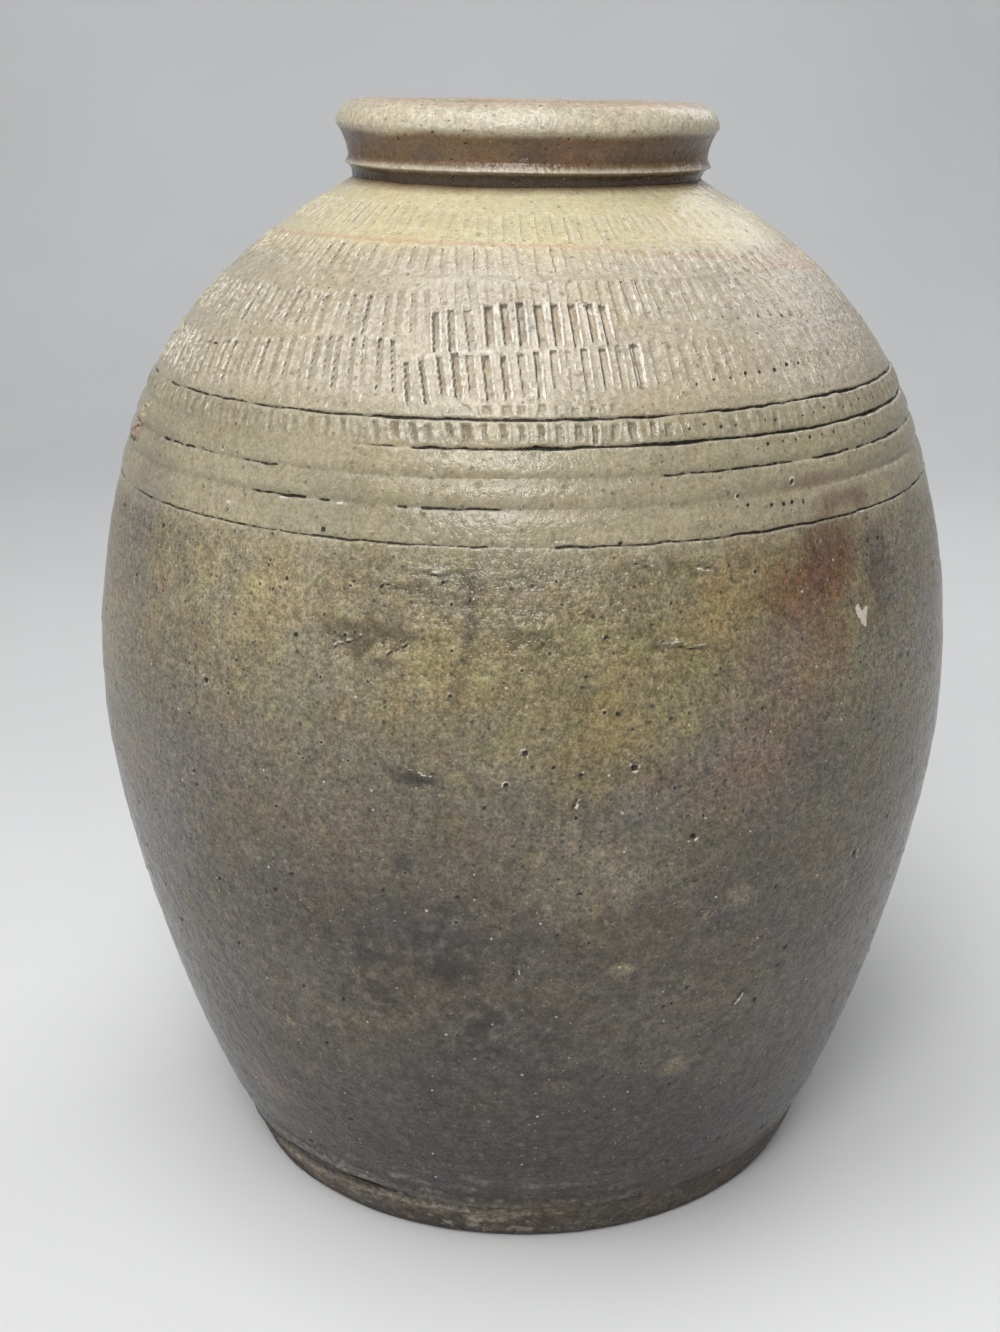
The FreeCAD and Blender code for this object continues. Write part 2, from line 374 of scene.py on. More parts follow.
# Lines drawn in the wet clay, from the top: height, depth, half width, whether they break up, and the
# stretches where they are cut, each with a share of the depth, in degrees
LINE_BURR = 0.25
LINE_WAVER = 0.3
SOFT_DEPTH = 0.4
INCISED_LINES = (
    (347.3, 1.4, 0.46, 0.0,
     ((-180, -72, 0.8), (-64, -38, 0.5), (-40, -20, 0.75), (-22, 82, 1.0), (92, 180, 0.9))),
    (338.4, 1.5, 0.50, 0.25,
     ((-170, -95, 0.8), (-23, -15, 0.5), (-15, 84, 1.1), (100, 150, 0.8))),
    (328.8, 1.1, 0.42, 0.6,
     ((-160, -70, 0.7), (-60, -32, 0.9), (-32, -3, 0.3), (17, 80, 0.9), (110, 180, 0.6))),
    (318.8, 1.1, 0.38, 0.9,
     ((-180, -110, 0.8), (-37, -21, 1.0), (-16, 1, 0.8), (95, 165, 0.7))),
    (307.0, 1.0, 0.38, 0.0,
     ((-180, -70, 0.7), (-65, -48, 0.48), (-50, -3, 0.62), (-4, 4, 0.32), (3, 180, 0.85))),
)
# Widths round the jar of a line's waver, gaps, swellings and chips, and their height
LINE_LUMPS = (5, 5, 12, 6)
LINE_LEVELS = 9
LINE_RUN_IN = 1.5

# How far outside its shape a mark counts as lying where it isn't made
UNMARKED = 2.0


def stretch_depth(angle, stretches, phase):
    """Share of a line's depth at each angle: its stretches run in and out over a few degrees."""
    degrees = np.degrees(angle)
    total = np.zeros_like(angle)
    for start, end, share in stretches:
        total = np.maximum(total, share * between(degrees, start, end, LINE_RUN_IN))
    return total * (0.85 + 0.15 * np.sin(degrees * 0.7 + phase))


def cut_lines(skin):
    """The drawn lines, each with a dark floor and a burr pushed up along its lower side."""
    for height, depth, half_width, breaks, stretches in INCISED_LINES:
        seed = round(height)
        level = np.full_like(skin.angle, height)
        waver, gaps, swell, chips = (lumps(skin.angle, level, around, LINE_LEVELS, seed + i)
                                     for i, around in enumerate(LINE_LUMPS))
        path = height + sway(skin.angle, seed, DRIFT) + LINE_WAVER * waver
        drawn = stretch_depth(skin.angle, stretches, height)
        traced = np.clip(drawn, 0, 1)
        share = drawn * (1 - breaks * smooth(gaps, -0.1, 0.25))
        width = half_width * (0.4 + 0.6 * share) * (1 + 0.4 * swell)
        up = (skin.height - path) / skin.rise
        groove = smooth(abs(up) / width, 1.6, 0.6)
        burr = bell(up + width + 0.5, 0.6)
        soft = bell(up, 1.7) if breaks > 0.5 else np.zeros_like(up)
        skin.relief += LINE_BURR * traced * burr - depth * share * groove - SOFT_DEPTH * soft
        # Painted shade in the groove, with pooled glaze
        skin.tint("hollow", 0.14 * soft)
        skin.tint("hollow", 0.4 * np.clip(share, 0, 1) * groove)
        # Pale glaze with painted highlight along the burr
        skin.tint("crest", 0.35 * traced * burr)
        skin.draw("ink", width - abs(up) - UNMARKED * smooth(share, 0.4, 0.1))
        lip = 0.4 - abs(up + width + 0.45) - 0.25 * (1 - chips)
        skin.draw("lip", lip - UNMARKED * (1 - traced))


@dataclass
class Tool:
    """How a tool marks the clay: how much shallower its stroke gets on the way down, how much thinner than
    a chisel's its slit is, half the width of a raised lip, and how worn the floor looks after a light
    touch, with what a firm one adds."""
    fade: float
    slit_trim: float
    lip_half: float
    worn: float
    worn_firm: float


CHISEL = Tool(0.7, 0.0, 0.52, 0.25, 0.75)
COMB = Tool(0.5, 0.09, 0.36, 0.12, 0.5)
DIMPLE = Tool(0.4, 0.3, 0.24, 0.25, 0.75)


@dataclass
class Band:
    """A band of pressed strokes: top and foot, width and depth of a stroke, and the spacing.
    Pressure is how hard the tool was pressed, and lift how much higher, at angles round the jar."""
    top: float
    foot: float
    width: float
    depth: float
    spacing: float
    tool: Tool
    pressure: tuple
    lift: tuple = ((0, 0.0),)


STROKE_BANDS = (
    Band(411.0, 403.2, 1.7, 0.4, 5.5, COMB,
         ((-180, 0.6), (-95, 0.8), (-60, 1.2), (-30, 1.0), (-8, 0.35), (20, 0.8), (40, 0.7), (75, 0.3),
          (130, 0.6)),
         ((-63, 2.2), (-33, 2.2), (-5, 0.0), (29, 0.0))),
    Band(400.2, 391.6, 2.3, 0.6, 5.8, COMB,
         ((-180, 0.8), (-70, 1.0), (-10, 0.9), (0, 0.6), (25, 0.8), (50, 0.8), (75, 0.5), (120, 0.8)),
         ((-60, 0.5), (10, 0.0), (45, -3.5), (72, -8.0), (110, -6.0), (150, -2.0))),
    Band(387.8, 375.2, 2.6, 0.75, 5.7, COMB,
         ((-180, 0.9), (-75, 0.9), (-40, 1.05), (-27, 0.9), (-26.5, 0.0), (-15, 0.0), (-14.5, 0.45),
          (13, 0.45), (13.5, 0.85), (30, 0.6), (42, 0.3), (80, 0.3), (120, 0.9)),
         ((-60, -4.0), (-35, -3.6), (-20, -0.4), (-15, 0.0), (-12, 1.5), (20, 1.5), (60, -3.0), (110, -2.0))),
    Band(370.6, 355.4, 2.7, 0.8, 6.0, COMB,
         ((-180, 0.9), (-80, 0.9), (-35, 1.0), (-29, 0.9), (-28.5, 0.0), (16.5, 0.0), (17, 0.8), (26, 0.55),
          (34, 0.28), (90, 0.3), (130, 1.0)),
         ((-75, -5.5), (-52, -5.0), (-43, -2.5), (-30, 0.8), (20, 0.0), (100, -2.0), (160, 0.0))),
    Band(383.0, 368.9, 2.5, 1.7, 6.1, CHISEL,
         ((-14.6, 0.0), (-14.5, 0.6), (-4, 1.0), (10, 1.0), (13.4, 0.8), (13.5, 0.0), (150, 0.0), (151, 0.9),
          (171, 1.0), (172, 0.0)),
         ((-13, -2.4), (-5, -0.2), (1, 0.5), (13, -0.3))),
    Band(368.2, 353.4, 2.3, 1.4, 5.8, CHISEL,
         ((-17.6, 0.0), (-17.5, 1.0), (-5, 1.0), (2, 0.62), (17.0, 0.5), (17.1, 0.0), (145, 0.0), (146, 0.7),
          (176, 0.9), (177, 0.0)),
         ((-16.5, -4.0), (-13.8, -2.2), (-8.8, -0.6), (4, 0.2), (14.6, 1.6))),
    Band(351.3, 348.7, 2.5, 0.9, 6.3, DIMPLE,
         ((-9.1, 0.0), (-9, 0.7), (14, 1.0), (14.1, 0.0))),
    Band(345.6, 340.0, 2.5, 1.2, 6.4, DIMPLE,
         ((-180, 0.7), (-70, 0.2), (-45, 0.3), (-28, 0.3), (-18, 0.65), (0, 1.0), (17, 0.9), (21, 0.25),
          (80, 0.25), (120, 0.8))),
    Band(387.0, 372.0, 2.1, 0.95, 5.6, COMB,
         ((-26.6, 0.0), (-26.5, 0.9), (-15.1, 0.9), (-15.0, 0.0)), ((-26, -1.4), (-15, 0.4))),
    Band(371.4, 353.6, 2.1, 0.95, 5.7, COMB,
         ((-28.6, 0.0), (-28.5, 0.95), (-17.8, 0.95), (-17.7, 0.0)), ((-28, 0.3), (-17, -0.6))),
)
FAINTEST_PRESSURE = 0.08

# How far a stroke leans to the right on its way down, as a share of its length, at angles round the jar
LEAN_ANGLES = (-180, -110, -52, -40, -14, -4, 4, 15, 60, 140, 180)
STROKE_LEAN = (0.1, 0.15, 0.35, 0.22, 0.34, 0.2, 0.08, 0.0, -0.05, 0.0, 0.1)

# A stroke's dark slit and head, its pale lips and edges, and the depth of a firm stroke
SLIT_HALF = 0.36
HEAD_HALF = 0.5
HOOK_RADIUS = 0.6
LIP_SLACK = 0.38
FIRM_DEPTH = 1.1
EDGE_SHARE = 0.36


def press_stroke(skin, angle, top, foot, width, depth, tool, slant):
    """One pressed mark with a flat floor, a slit down its left edge and a raised edge on both sides.
    A chisel bites deepest at its square top end; a comb runs in and out softly, with a hooked head."""
    window, across, _ = skin.near(angle, (top + foot) / 2, width * 2 + abs(slant), (top - foot) / 2 + 2)
    t = (top - skin.height[window]) / (top - foot)
    fall = (top - skin.height[window]) / skin.rise[window]
    rest = (skin.height[window] - foot) / skin.rise[window]
    half = width / 2
    off = across - slant * (t - 0.5)
    force = np.clip(depth / FIRM_DEPTH, 0, 1)
    slack = 1 - force
    inside = smooth(abs(off) / half, 1.2, 0.8)
    pressed = smooth(fall, -0.5, 0.4) * smooth(t, 1.05, 0.7)
    along = pressed * (1 - tool.fade * np.clip(t, 0, 1))
    groove = pressed * bell(off + 0.8 * half, 0.3 * half)
    skirt = smooth(fall, -1.6, 0.2) * smooth(t, 1.15, 0.85)
    edge = skirt * bell(abs(off) - 1.5 * half, 0.4 * half)
    floor = along * inside * (0.8 - 0.2 * off / half)
    skin.relief[window] += depth * (EDGE_SHARE * edge - floor - 0.4 * groove)
    # The slit and a chisel's square head are painted dark: shade in the crevice and shadow under the top end,
    # with pooled glaze
    slit = np.minimum(SLIT_HALF - abs(off + 0.82 * half), np.minimum(fall, rest - 1.5))
    ink = slit - 0.5 * slack - tool.slit_trim
    if tool is CHISEL:
        head = np.minimum(HEAD_HALF - abs(fall - HEAD_HALF), half - abs(off))
        ink = np.maximum(ink, head - 0.4 * slack)
    elif tool is COMB:
        head = HOOK_RADIUS - np.hypot(off + 0.3 * half, fall - 1.5 * HOOK_RADIUS)
        ink = np.maximum(ink, head - 0.8 * slack)
    else:
        # A dimple's floor takes painted shade
        skin.tint("hollow", 0.45 * force * inside * along, window)
    skin.tint("floor", (tool.worn + tool.worn_firm * force) * inside * pressed, window)
    # Painted shade in the groove down the left edge, and pale raised edges with painted highlight
    skin.tint("hollow", 0.55 * force * groove, window)
    skin.tint("crest", (0.12 + 0.7 * force) * edge, window)
    skin.draw("ink", ink, window)
    lip = tool.lip_half - abs(abs(off) - half - tool.lip_half) - UNMARKED * (1 - skirt)
    skin.draw("lip", lip - LIP_SLACK * slack, window)


# Knobs between the two rows of chisel strokes: angle and height along the row, their rise and half height
KNOB_ANGLES = (-18, -13, -8, 0, 14)
KNOB_HEIGHTS = (365.2, 366.8, 368.2, 368.9, 369.4)
KNOB_RISE = 0.45
KNOB_HALF = 1.1

# Size of the lumps of glaze on the ridges between strokes
RIDGE_LUMP = 0.45


def raise_knobs(skin):
    """Pale lumps of glaze, with painted highlights on them, where the two rows of chisel strokes meet."""
    level = np.interp(skin.degrees, KNOB_ANGLES, KNOB_HEIGHTS)
    row = between(skin.degrees, KNOB_ANGLES[0], KNOB_ANGLES[-1], 3) * bell(skin.height - level, KNOB_HALF)
    knobs = row * smooth(skin.lumps(3.0, 2.6, 15), -0.5, 0.4)
    skin.relief += KNOB_RISE * knobs
    skin.tint("crest", 0.85 * knobs)


def press_bands(skin):
    """All the bands of strokes, unevenly spaced and pressed as a hand does it, with lumpy ridges."""
    rng = np.random.default_rng(11)
    for band in STROKE_BANDS:
        count = round(TURN * outline_at((band.top + band.foot) / 2)[0] / band.spacing)
        drift = sway(skin.angle, round(band.top), DRIFT)
        for i in range(count):
            angle = wrap((i + rng.normal(0, 0.08)) * TURN / count)
            degrees = math.degrees(angle)
            share = np.interp(degrees, *np.array(band.pressure).T, period=360)
            share *= np.clip(rng.normal(1.0, 0.22), 0.4, 1.5)
            shift = np.interp(angle, skin.angle, drift) + np.interp(degrees, *np.array(band.lift).T)
            shift += rng.normal(0, 0.35)
            top = band.top + shift
            foot = band.foot + shift + rng.normal(0, 0.7)
            slant = np.interp(degrees, LEAN_ANGLES, STROKE_LEAN) * (top - foot) + rng.normal(0, 0.45)
            width = band.width * np.clip(rng.normal(1.0, 0.12), 0.7, 1.3)
            if share > FAINTEST_PRESSURE:
                press_stroke(skin, angle, top, foot, width, band.depth * share, band.tool, slant)
    raise_knobs(skin)
    skin.relief += RIDGE_LUMP * skin.marks["crest"] * skin.lumps(2.6, 2.2, 14)


def dent(skin, angle, height, radius, depth, dark=0.0, ring=0.0):
    """A round pit with a raised ring, or a raised spot where the depth is below zero."""
    window, across, up = skin.near(angle, height, radius * 3, radius * 3)
    distance = np.hypot(across, up) / radius
    pit = smooth(distance, 1.1, 0.25)
    skin.relief[window] += ring * bell(distance - 1.5, 0.4) - depth * pit
    skin.tint("hollow", 0.6 * dark * pit, window)
    if dark:
        skin.draw("ink", radius * (dark - distance), window)
    if ring:
        skin.draw("lip", 0.22 - abs(radius * (distance - 1.4)), window)


# Rows of small dots left by the corner of the tool: first and last angle, first and last height, count
DOT_ROWS = (
    (34.0, 52.0, 376.5, 374.9, 8),
    (25.0, 53.0, 357.5, 360.5, 11),
    (22.0, 60.0, 343.4, 342.6, 17),
    (31.0, 54.0, 335.6, 335.4, 10),
    (27.0, 37.5, 316.0, 314.2, 7),
    (-66.0, -50.0, 362.5, 364.5, 7),
    (95.0, 128.0, 343.5, 343.0, 14),
)
DOT_RADIUS = 0.95
DOT_DEPTH = 1.0

# Share of a pit's radius that is dark
PIT_DARK = 0.8


def press_dots(skin):
    """The rows of dots, each a little out of place."""
    rng = np.random.default_rng(12)
    for start, end, low, high, count in DOT_ROWS:
        for share in np.linspace(0, 1, count):
            angle = math.radians(start + (end - start) * share + rng.normal(0, 0.15))
            height = low + (high - low) * share + rng.normal(0, 0.4)
            radius = DOT_RADIUS * rng.uniform(0.7, 1.15)
            dent(skin, angle, height, radius, DOT_DEPTH * rng.uniform(0.6, 1.1), PIT_DARK)


# Short pale flecks pulled up by the tool: first and last angle, lowest and highest place, count
FLECKS = ((22, 75, 352, 394, 190), (-75, -18, 345, 402, 90), (-180, 180, 342, 408, 260))
FLECK_RISE = 0.2
FLECK_REACH = 4.0
FLECK_DARK_SHARE = 0.35


def scatter_flecks(skin):
    """The flecks, some with a dark spot beside their upper end."""
    rng = np.random.default_rng(13)
    for start, end, low, high, count in FLECKS:
        for i in range(count):
            angle = math.radians(rng.uniform(start, end))
            height = rng.uniform(low, high)
            half_length = rng.uniform(0.5, 1.8)
            window, across, up = skin.near(angle, height, FLECK_REACH, FLECK_REACH)
            reach = np.hypot(across, np.maximum(abs(up) - half_length, 0))
            skin.draw("lip", rng.uniform(0.15, 0.42) - reach, window)
            skin.relief[window] += FLECK_RISE * bell(reach, 0.6)
            if rng.uniform() < FLECK_DARK_SHARE:
                skin.draw("ink", rng.uniform(0.2, 0.45) - np.hypot(across + 0.8, up - half_length), window)


# Pits seen on the front: angle, height, radius, and whether a burst bubble's ring is round it
FRONT_PITS = (
    (9.5, 276.1, 1.6, 1), (-1.75, 285.4, 1.1, 0), (0.3, 236.4, 1.7, 1), (6.5, 227.9, 1.5, 1),
    (12.5, 229.6, 1.9, 1), (-1.8, 224.6, 1.5, 1), (17.3, 286.3, 1.1, 0), (32.4, 282.5, 1.2, 0),
    (55.4, 248.1, 1.3, 0), (28.5, 245.3, 1.3, 0), (23.6, 220.5, 1.2, 0), (47.1, 229.1, 1.3, 0),
    (19.8, 200.9, 2.0, 1), (46.2, 173.9, 2.2, 1), (-40.4, 248.8, 1.9, 1), (-43.2, 211.0, 1.3, 1),
    (-29.0, 199.0, 1.2, 0), (-24.5, 203.0, 1.2, 0), (-31.5, 171.0, 1.4, 0), (-33.0, 169.0, 1.3, 0),
    (-20.0, 293.0, 1.2, 0), (-16.5, 292.0, 1.2, 0), (-52.0, 291.0, 1.1, 0), (-45.0, 302.5, 1.2, 0),
    (36.2, 321.8, 1.4, 1), (27.6, 319.6, 1.2, 1), (-39.5, 313.0, 1.0, 1), (-43.0, 331.0, 1.1, 1),
    (4.0, 188.0, 1.2, 0), (-30.0, 128.0, 1.3, 0), (-7.5, 180.0, 1.1, 0), (31.0, 135.0, 1.4, 0),
)
# Raised specks of grit on the front: angle, height, radius, stand-off
FRONT_GRIT = (
    (6.9, 283.1, 1.6, 0.35), (-11.5, 272.3, 2.2, 0.4), (13.7, 281.7, 1.5, 0.35), (18.2, 258.9, 2.4, 0.35),
    (10.9, 250.6, 2.6, 0.4), (-16.9, 188.0, 1.8, 0.4), (1.5, 196.0, 3.0, 0.4), (38.0, 252.0, 1.6, 0.4),
    (41.0, 208.0, 1.5, 0.4), (-36.0, 262.0, 1.6, 0.4), (-48.0, 264.0, 1.3, 0.3),
)
# Scratches, gouges and ledges on the front: from angle and height to angle and height, half width, depth
FRONT_GOUGES = (
    (-23.1, 268.1, -17.5, 275.8, 0.7, 0.55), (-16.2, 267.5, -12.1, 274.9, 0.8, 0.7),
    (11.8, 301.4, 16.2, 297.6, 0.9, 0.7), (14.6, 272.6, 23.0, 268.6, 1.0, 0.8),
    (-1.0, 151.0, -1.2, 142.5, 1.3, 1.1), (-29.5, 171.6, -25.2, 162.4, 0.9, 0.6),
    (-13.9, 227.0, -9.3, 224.2, 1.8, 0.7), (-6.0, 293.5, -5.8, 286.5, 0.9, 0.7),
    (-12.5, 297.4, -8.2, 296.6, 0.9, 0.8), (-9.8, 293.0, -8.3, 296.0, 0.8, 0.7),
    (6.2, 221.0, 5.4, 214.0, 0.8, 0.8), (24.2, 296.2, 20.0, 298.0, 0.8, 0.5),
    (30.5, 128.0, 29.0, 118.0, 0.9, 0.5), (-17.0, 293.6, -13.6, 291.6, 0.7, 0.5),
)
# Rough patches on the front, where the glaze has broken up: angle, height, half width, half height
ROUGH_PATCHES = (
    (-11.0, 296.0, 16, 6), (1.0, 279.0, 9, 9), (-17.0, 274.0, 22, 9), (-19.1, 150.0, 11, 8),
    (-9.6, 158.0, 16, 15), (-10.4, 148.4, 12, 8), (-21.0, 133.0, 16, 9), (-4.0, 118.0, 26, 14),
    (16.0, 298.0, 12, 5), (-27.0, 110.0, 10, 6),
)
# Depth and width of a pit as shares of its radius, and sizes of rings and flakes
PIT_DEPTH = 0.6
PIT_SHARE = 0.72
RING_HEIGHT = 0.14
FLAKE_STEP = 0.5

# Loose pits and grit round the whole jar, from a lowest to a highest place
LOOSE_PITS = 230
LOOSE_GRIT = 560
LOOSE_LOW = 30.0
PITS_HIGH = 310.0
GRIT_HIGH = 345.0


def cut_gouge(skin, from_angle, from_height, to_angle, to_height, half_width, depth):
    """A scratch from one place to another, with one raised edge."""
    height = (from_height + to_height) / 2
    radius, _, rise = outline_at(height)
    dx = math.radians(to_angle - from_angle) * radius
    dy = (to_height - from_height) / rise
    length = math.hypot(dx, dy)
    window, across, up = skin.near(math.radians((from_angle + to_angle) / 2), height, length, length)
    along = (across * dx + up * dy) / length
    off = (up * dx - across * dy) / length + 0.3 * half_width * np.sin(along / 1.7)
    taper = smooth(abs(along) / length, 0.55, 0.25)
    groove = taper * smooth(abs(off) / half_width, 1.2, 0.3)
    edge = taper * bell(off - 1.8 * half_width, half_width)
    skin.relief[window] += 0.4 * depth * edge - depth * groove
    skin.tint("hollow", 0.4 * groove, window)
    skin.draw("ink", 0.26 - abs(off) - UNMARKED * (1 - taper), window)
    skin.draw("lip", 0.3 - abs(off - 1.3 * half_width) - UNMARKED * (1 - taper), window)


def patch_share(skin, angle, height, half_width, half_height, slope, seed):
    """How much of a soft-edged, ragged patch lies at each point, from 0 to 1."""
    across = wrap(skin.turn - math.radians(angle)) * skin.radius
    up = skin.height - height
    tilt = math.radians(slope)
    along = across * math.cos(tilt) + up * math.sin(tilt)
    off = up * math.cos(tilt) - across * math.sin(tilt)
    distance = np.hypot(along / half_width, off / half_height)
    ragged = skin.lumps(24, 20, seed) + 0.8 * skin.lumps(10, 9, seed + 1) + 0.6 * skin.lumps(4, 4, 61)
    return smooth(distance + 0.32 * ragged, 1.35, 0.25)


def mark_surface(skin):
    """Burst bubbles, grit, scratches and rough patches: those on the front, then loose ones all round."""
    rng = np.random.default_rng(21)
    for angle, height, radius, ringed in FRONT_PITS:
        ring = RING_HEIGHT * ringed
        dent(skin, math.radians(angle), height, PIT_SHARE * radius, PIT_DEPTH * radius, PIT_DARK, ring)
    for angle, height, radius, stand_off in FRONT_GRIT:
        dent(skin, math.radians(angle), height, radius, -stand_off)
    for gouge in FRONT_GOUGES:
        cut_gouge(skin, *gouge)
    for i in range(LOOSE_PITS):
        angle = rng.uniform(-math.pi, math.pi)
        height = rng.uniform(LOOSE_LOW, PITS_HIGH)
        radius = rng.uniform(0.7, 1.2)
        dent(skin, angle, height, radius, PIT_DEPTH * radius, PIT_DARK)
    for i in range(LOOSE_GRIT):
        angle = rng.uniform(-math.pi, math.pi)
        height = rng.uniform(LOOSE_LOW, GRIT_HIGH)
        dent(skin, angle, height, rng.uniform(0.8, 2.0), rng.uniform(-0.4, -0.15))
    broken = 0.65 * skin.lumps(8, 6, 31) + 0.5 * skin.lumps(3.6, 3.2, 33)
    flakes = smooth(broken, -0.12, 0.2)
    flake_edge = smooth(broken, 0.15, 0.35) * smooth(broken, 0.6, 0.35)
    for patch in ROUGH_PATCHES:
        share = patch_share(skin, *patch, 0.0, 32)
        skin.relief += share * FLAKE_STEP * (flakes - 0.5)
        skin.tint("hollow", 0.5 * share * (1 - flakes))
        skin.tint("crest", 0.1 * share * flake_edge)


# Unevenness of the walls and rings that the turning leaves: size, width round the jar, height, seed
HAND_LUMPS = ((0.55, 110, 80, 41), (0.20, 30, 22, 42), (0.11, 10, 8, 43), (0.07, 3.6, 3.4, 44))
TURNING_RINGS = ((0.13, 260, 6.5, 46), (0.05, 160, 2.4, 47))
RING_DRIFT = 2.5

# Pebbly surface of the lower body: full up to one height and gone at another, its rise and change of tone
PEBBLE_FULL = 130.0
PEBBLE_END = 235.0
PEBBLE_RISE = 0.12
PEBBLE_TONE = 0.32


def pebbles(skin):
    """Small bumps on the lower body, from -1 to 1, fading out at the belly."""
    return smooth(skin.height, PEBBLE_END, PEBBLE_FULL) * skin.lumps(3.2, 3.0, 48)


def shape_by_hand(skin):
    """Uneven walls, pebbly low down, and the rings that the turning leaves."""
    for size, around, up, seed in HAND_LUMPS:
        skin.relief += size * skin.lumps(around, up, seed)
    skin.relief += PEBBLE_RISE * pebbles(skin)
    drifted = skin.height + sway(skin.angle, 45, RING_DRIFT)
    for size, around, up, seed in TURNING_RINGS:
        skin.relief += size * lumps(skin.turn, drifted, around, up, seed)


# Scraped foot: where the scraping ends, how far it wanders, and the sizes of ridges, chips and foot line
SCRAPE_TOP = 46.0
SCRAPE_DRIFT = 4.0
SCRAPE_SIZE = 0.9
CHIP_DEPTH = 0.3
FOOT_LINE_DRIFT = 1.5
FOOT_LINE_HALF = 0.9
FOOT_LINE_DEPTH = 1.0


def scrape_foot(skin):
    """Ridges scraped round the foot, and the broken line above the foot band."""
    drifted = skin.height + sway(skin.angle, 51, SCRAPE_DRIFT)
    fine, finer, chipped, broken = (lumps(skin.turn, drifted, around, up, seed) for around, up, seed in (
        (90, 3.6, 52), (30, 1.8, 55), (7, 2.6, 53), (45, 20, 56)))
    ridges = 0.7 * fine + 0.5 * finer
    low = smooth(skin.height, SCRAPE_TOP, 0.55 * SCRAPE_TOP)
    left = 0.5 + 0.5 * skin.beside(-45, 0.6)
    chips = skin.beside(-12, 0.5) * smooth(chipped, 0.2, 0.7)
    skin.relief += low * (SCRAPE_SIZE * left * ridges - CHIP_DEPTH * chips)
    waver = FOOT_BAND_Z + sway(skin.angle, 54, FOOT_LINE_DRIFT)
    shown = 0.25 + 0.75 * skin.beside(-50, 0.5)
    line = shown * bell(skin.height - waver, FOOT_LINE_HALF) * smooth(broken, -0.6, 0.2)
    skin.relief -= FOOT_LINE_DEPTH * line
    skin.tint("hollow", 0.5 * line)
    skin.tint("hollow", 0.5 * low * left * smooth(-ridges, 0.2, 0.8))
    skin.tint("crest", 0.3 * low * left * smooth(ridges, 0.3, 0.9))
    skin.tint("crest", 0.3 * low * chips)


# Ridges and a groove scraped along the left of the foot: angles, heights, half width and rise of each
FOOT_RIDGES = (
    ((-66, -58, -47.6, -40, -32, -22), (23, 25.6, 29.9, 29.7, 27.7, 25), 0.8, 0.6),
    ((-66, -58, -47.6, -40, -32, -24), (20, 22.8, 26.8, 27.0, 25.0, 22), 0.8, 0.5),
    ((-66, -60, -50, -40, -34, -20), (13, 15.6, 19.9, 23.5, 20.8, 19), 1.0, -1.1),
    ((-60, -48, -30, -23, -11, -2), (11, 14.5, 15.6, 16, 16.8, 14), 1.6, 0.5),
)
FOOT_RIDGE_WAVER = 0.5


def scrape_ridges(skin):
    """The single ridges and the groove, which taper off at both ends."""
    waver = FOOT_RIDGE_WAVER * skin.lumps(14, 12, 57)
    for angles, heights, half_width, rise in FOOT_RIDGES:
        level = np.interp(skin.degrees, angles, heights) + waver
        share = between(skin.degrees, angles[0], angles[-1], 8) * bell(skin.height - level, half_width)
        skin.relief += rise * share
        if rise > 0:
            skin.tint("crest", 0.32 * share)
        else:
            skin.tint("hollow", 0.75 * share)


# The ground colour by height, and how far its bands wander on the body and at the foot
GROUND_STOPS = (
    (0, UMBER), (6, FOOT_BROWN), (17, FOOT_BROWN), (25, DARK_UMBER), (50, DARK_UMBER), (80, UMBER),
    (120, LOW_OLIVE), (165, LOW_OLIVE), (220, MID_OLIVE), (262, BELLY_OLIVE), (298, BELLY_OLIVE),
    (309, GREY_OLIVE), (345, GREY_OLIVE), (354, STROKE_GREY), (393, STROKE_GREY), (402, KHAKI), (417, KHAKI),
    (420, NECK_BROWN),
)
BODY_WANDER = 7.0
FOOT_WANDER = 2.5
WANDER_LOW = 40.0
WANDER_HIGH = 296.0

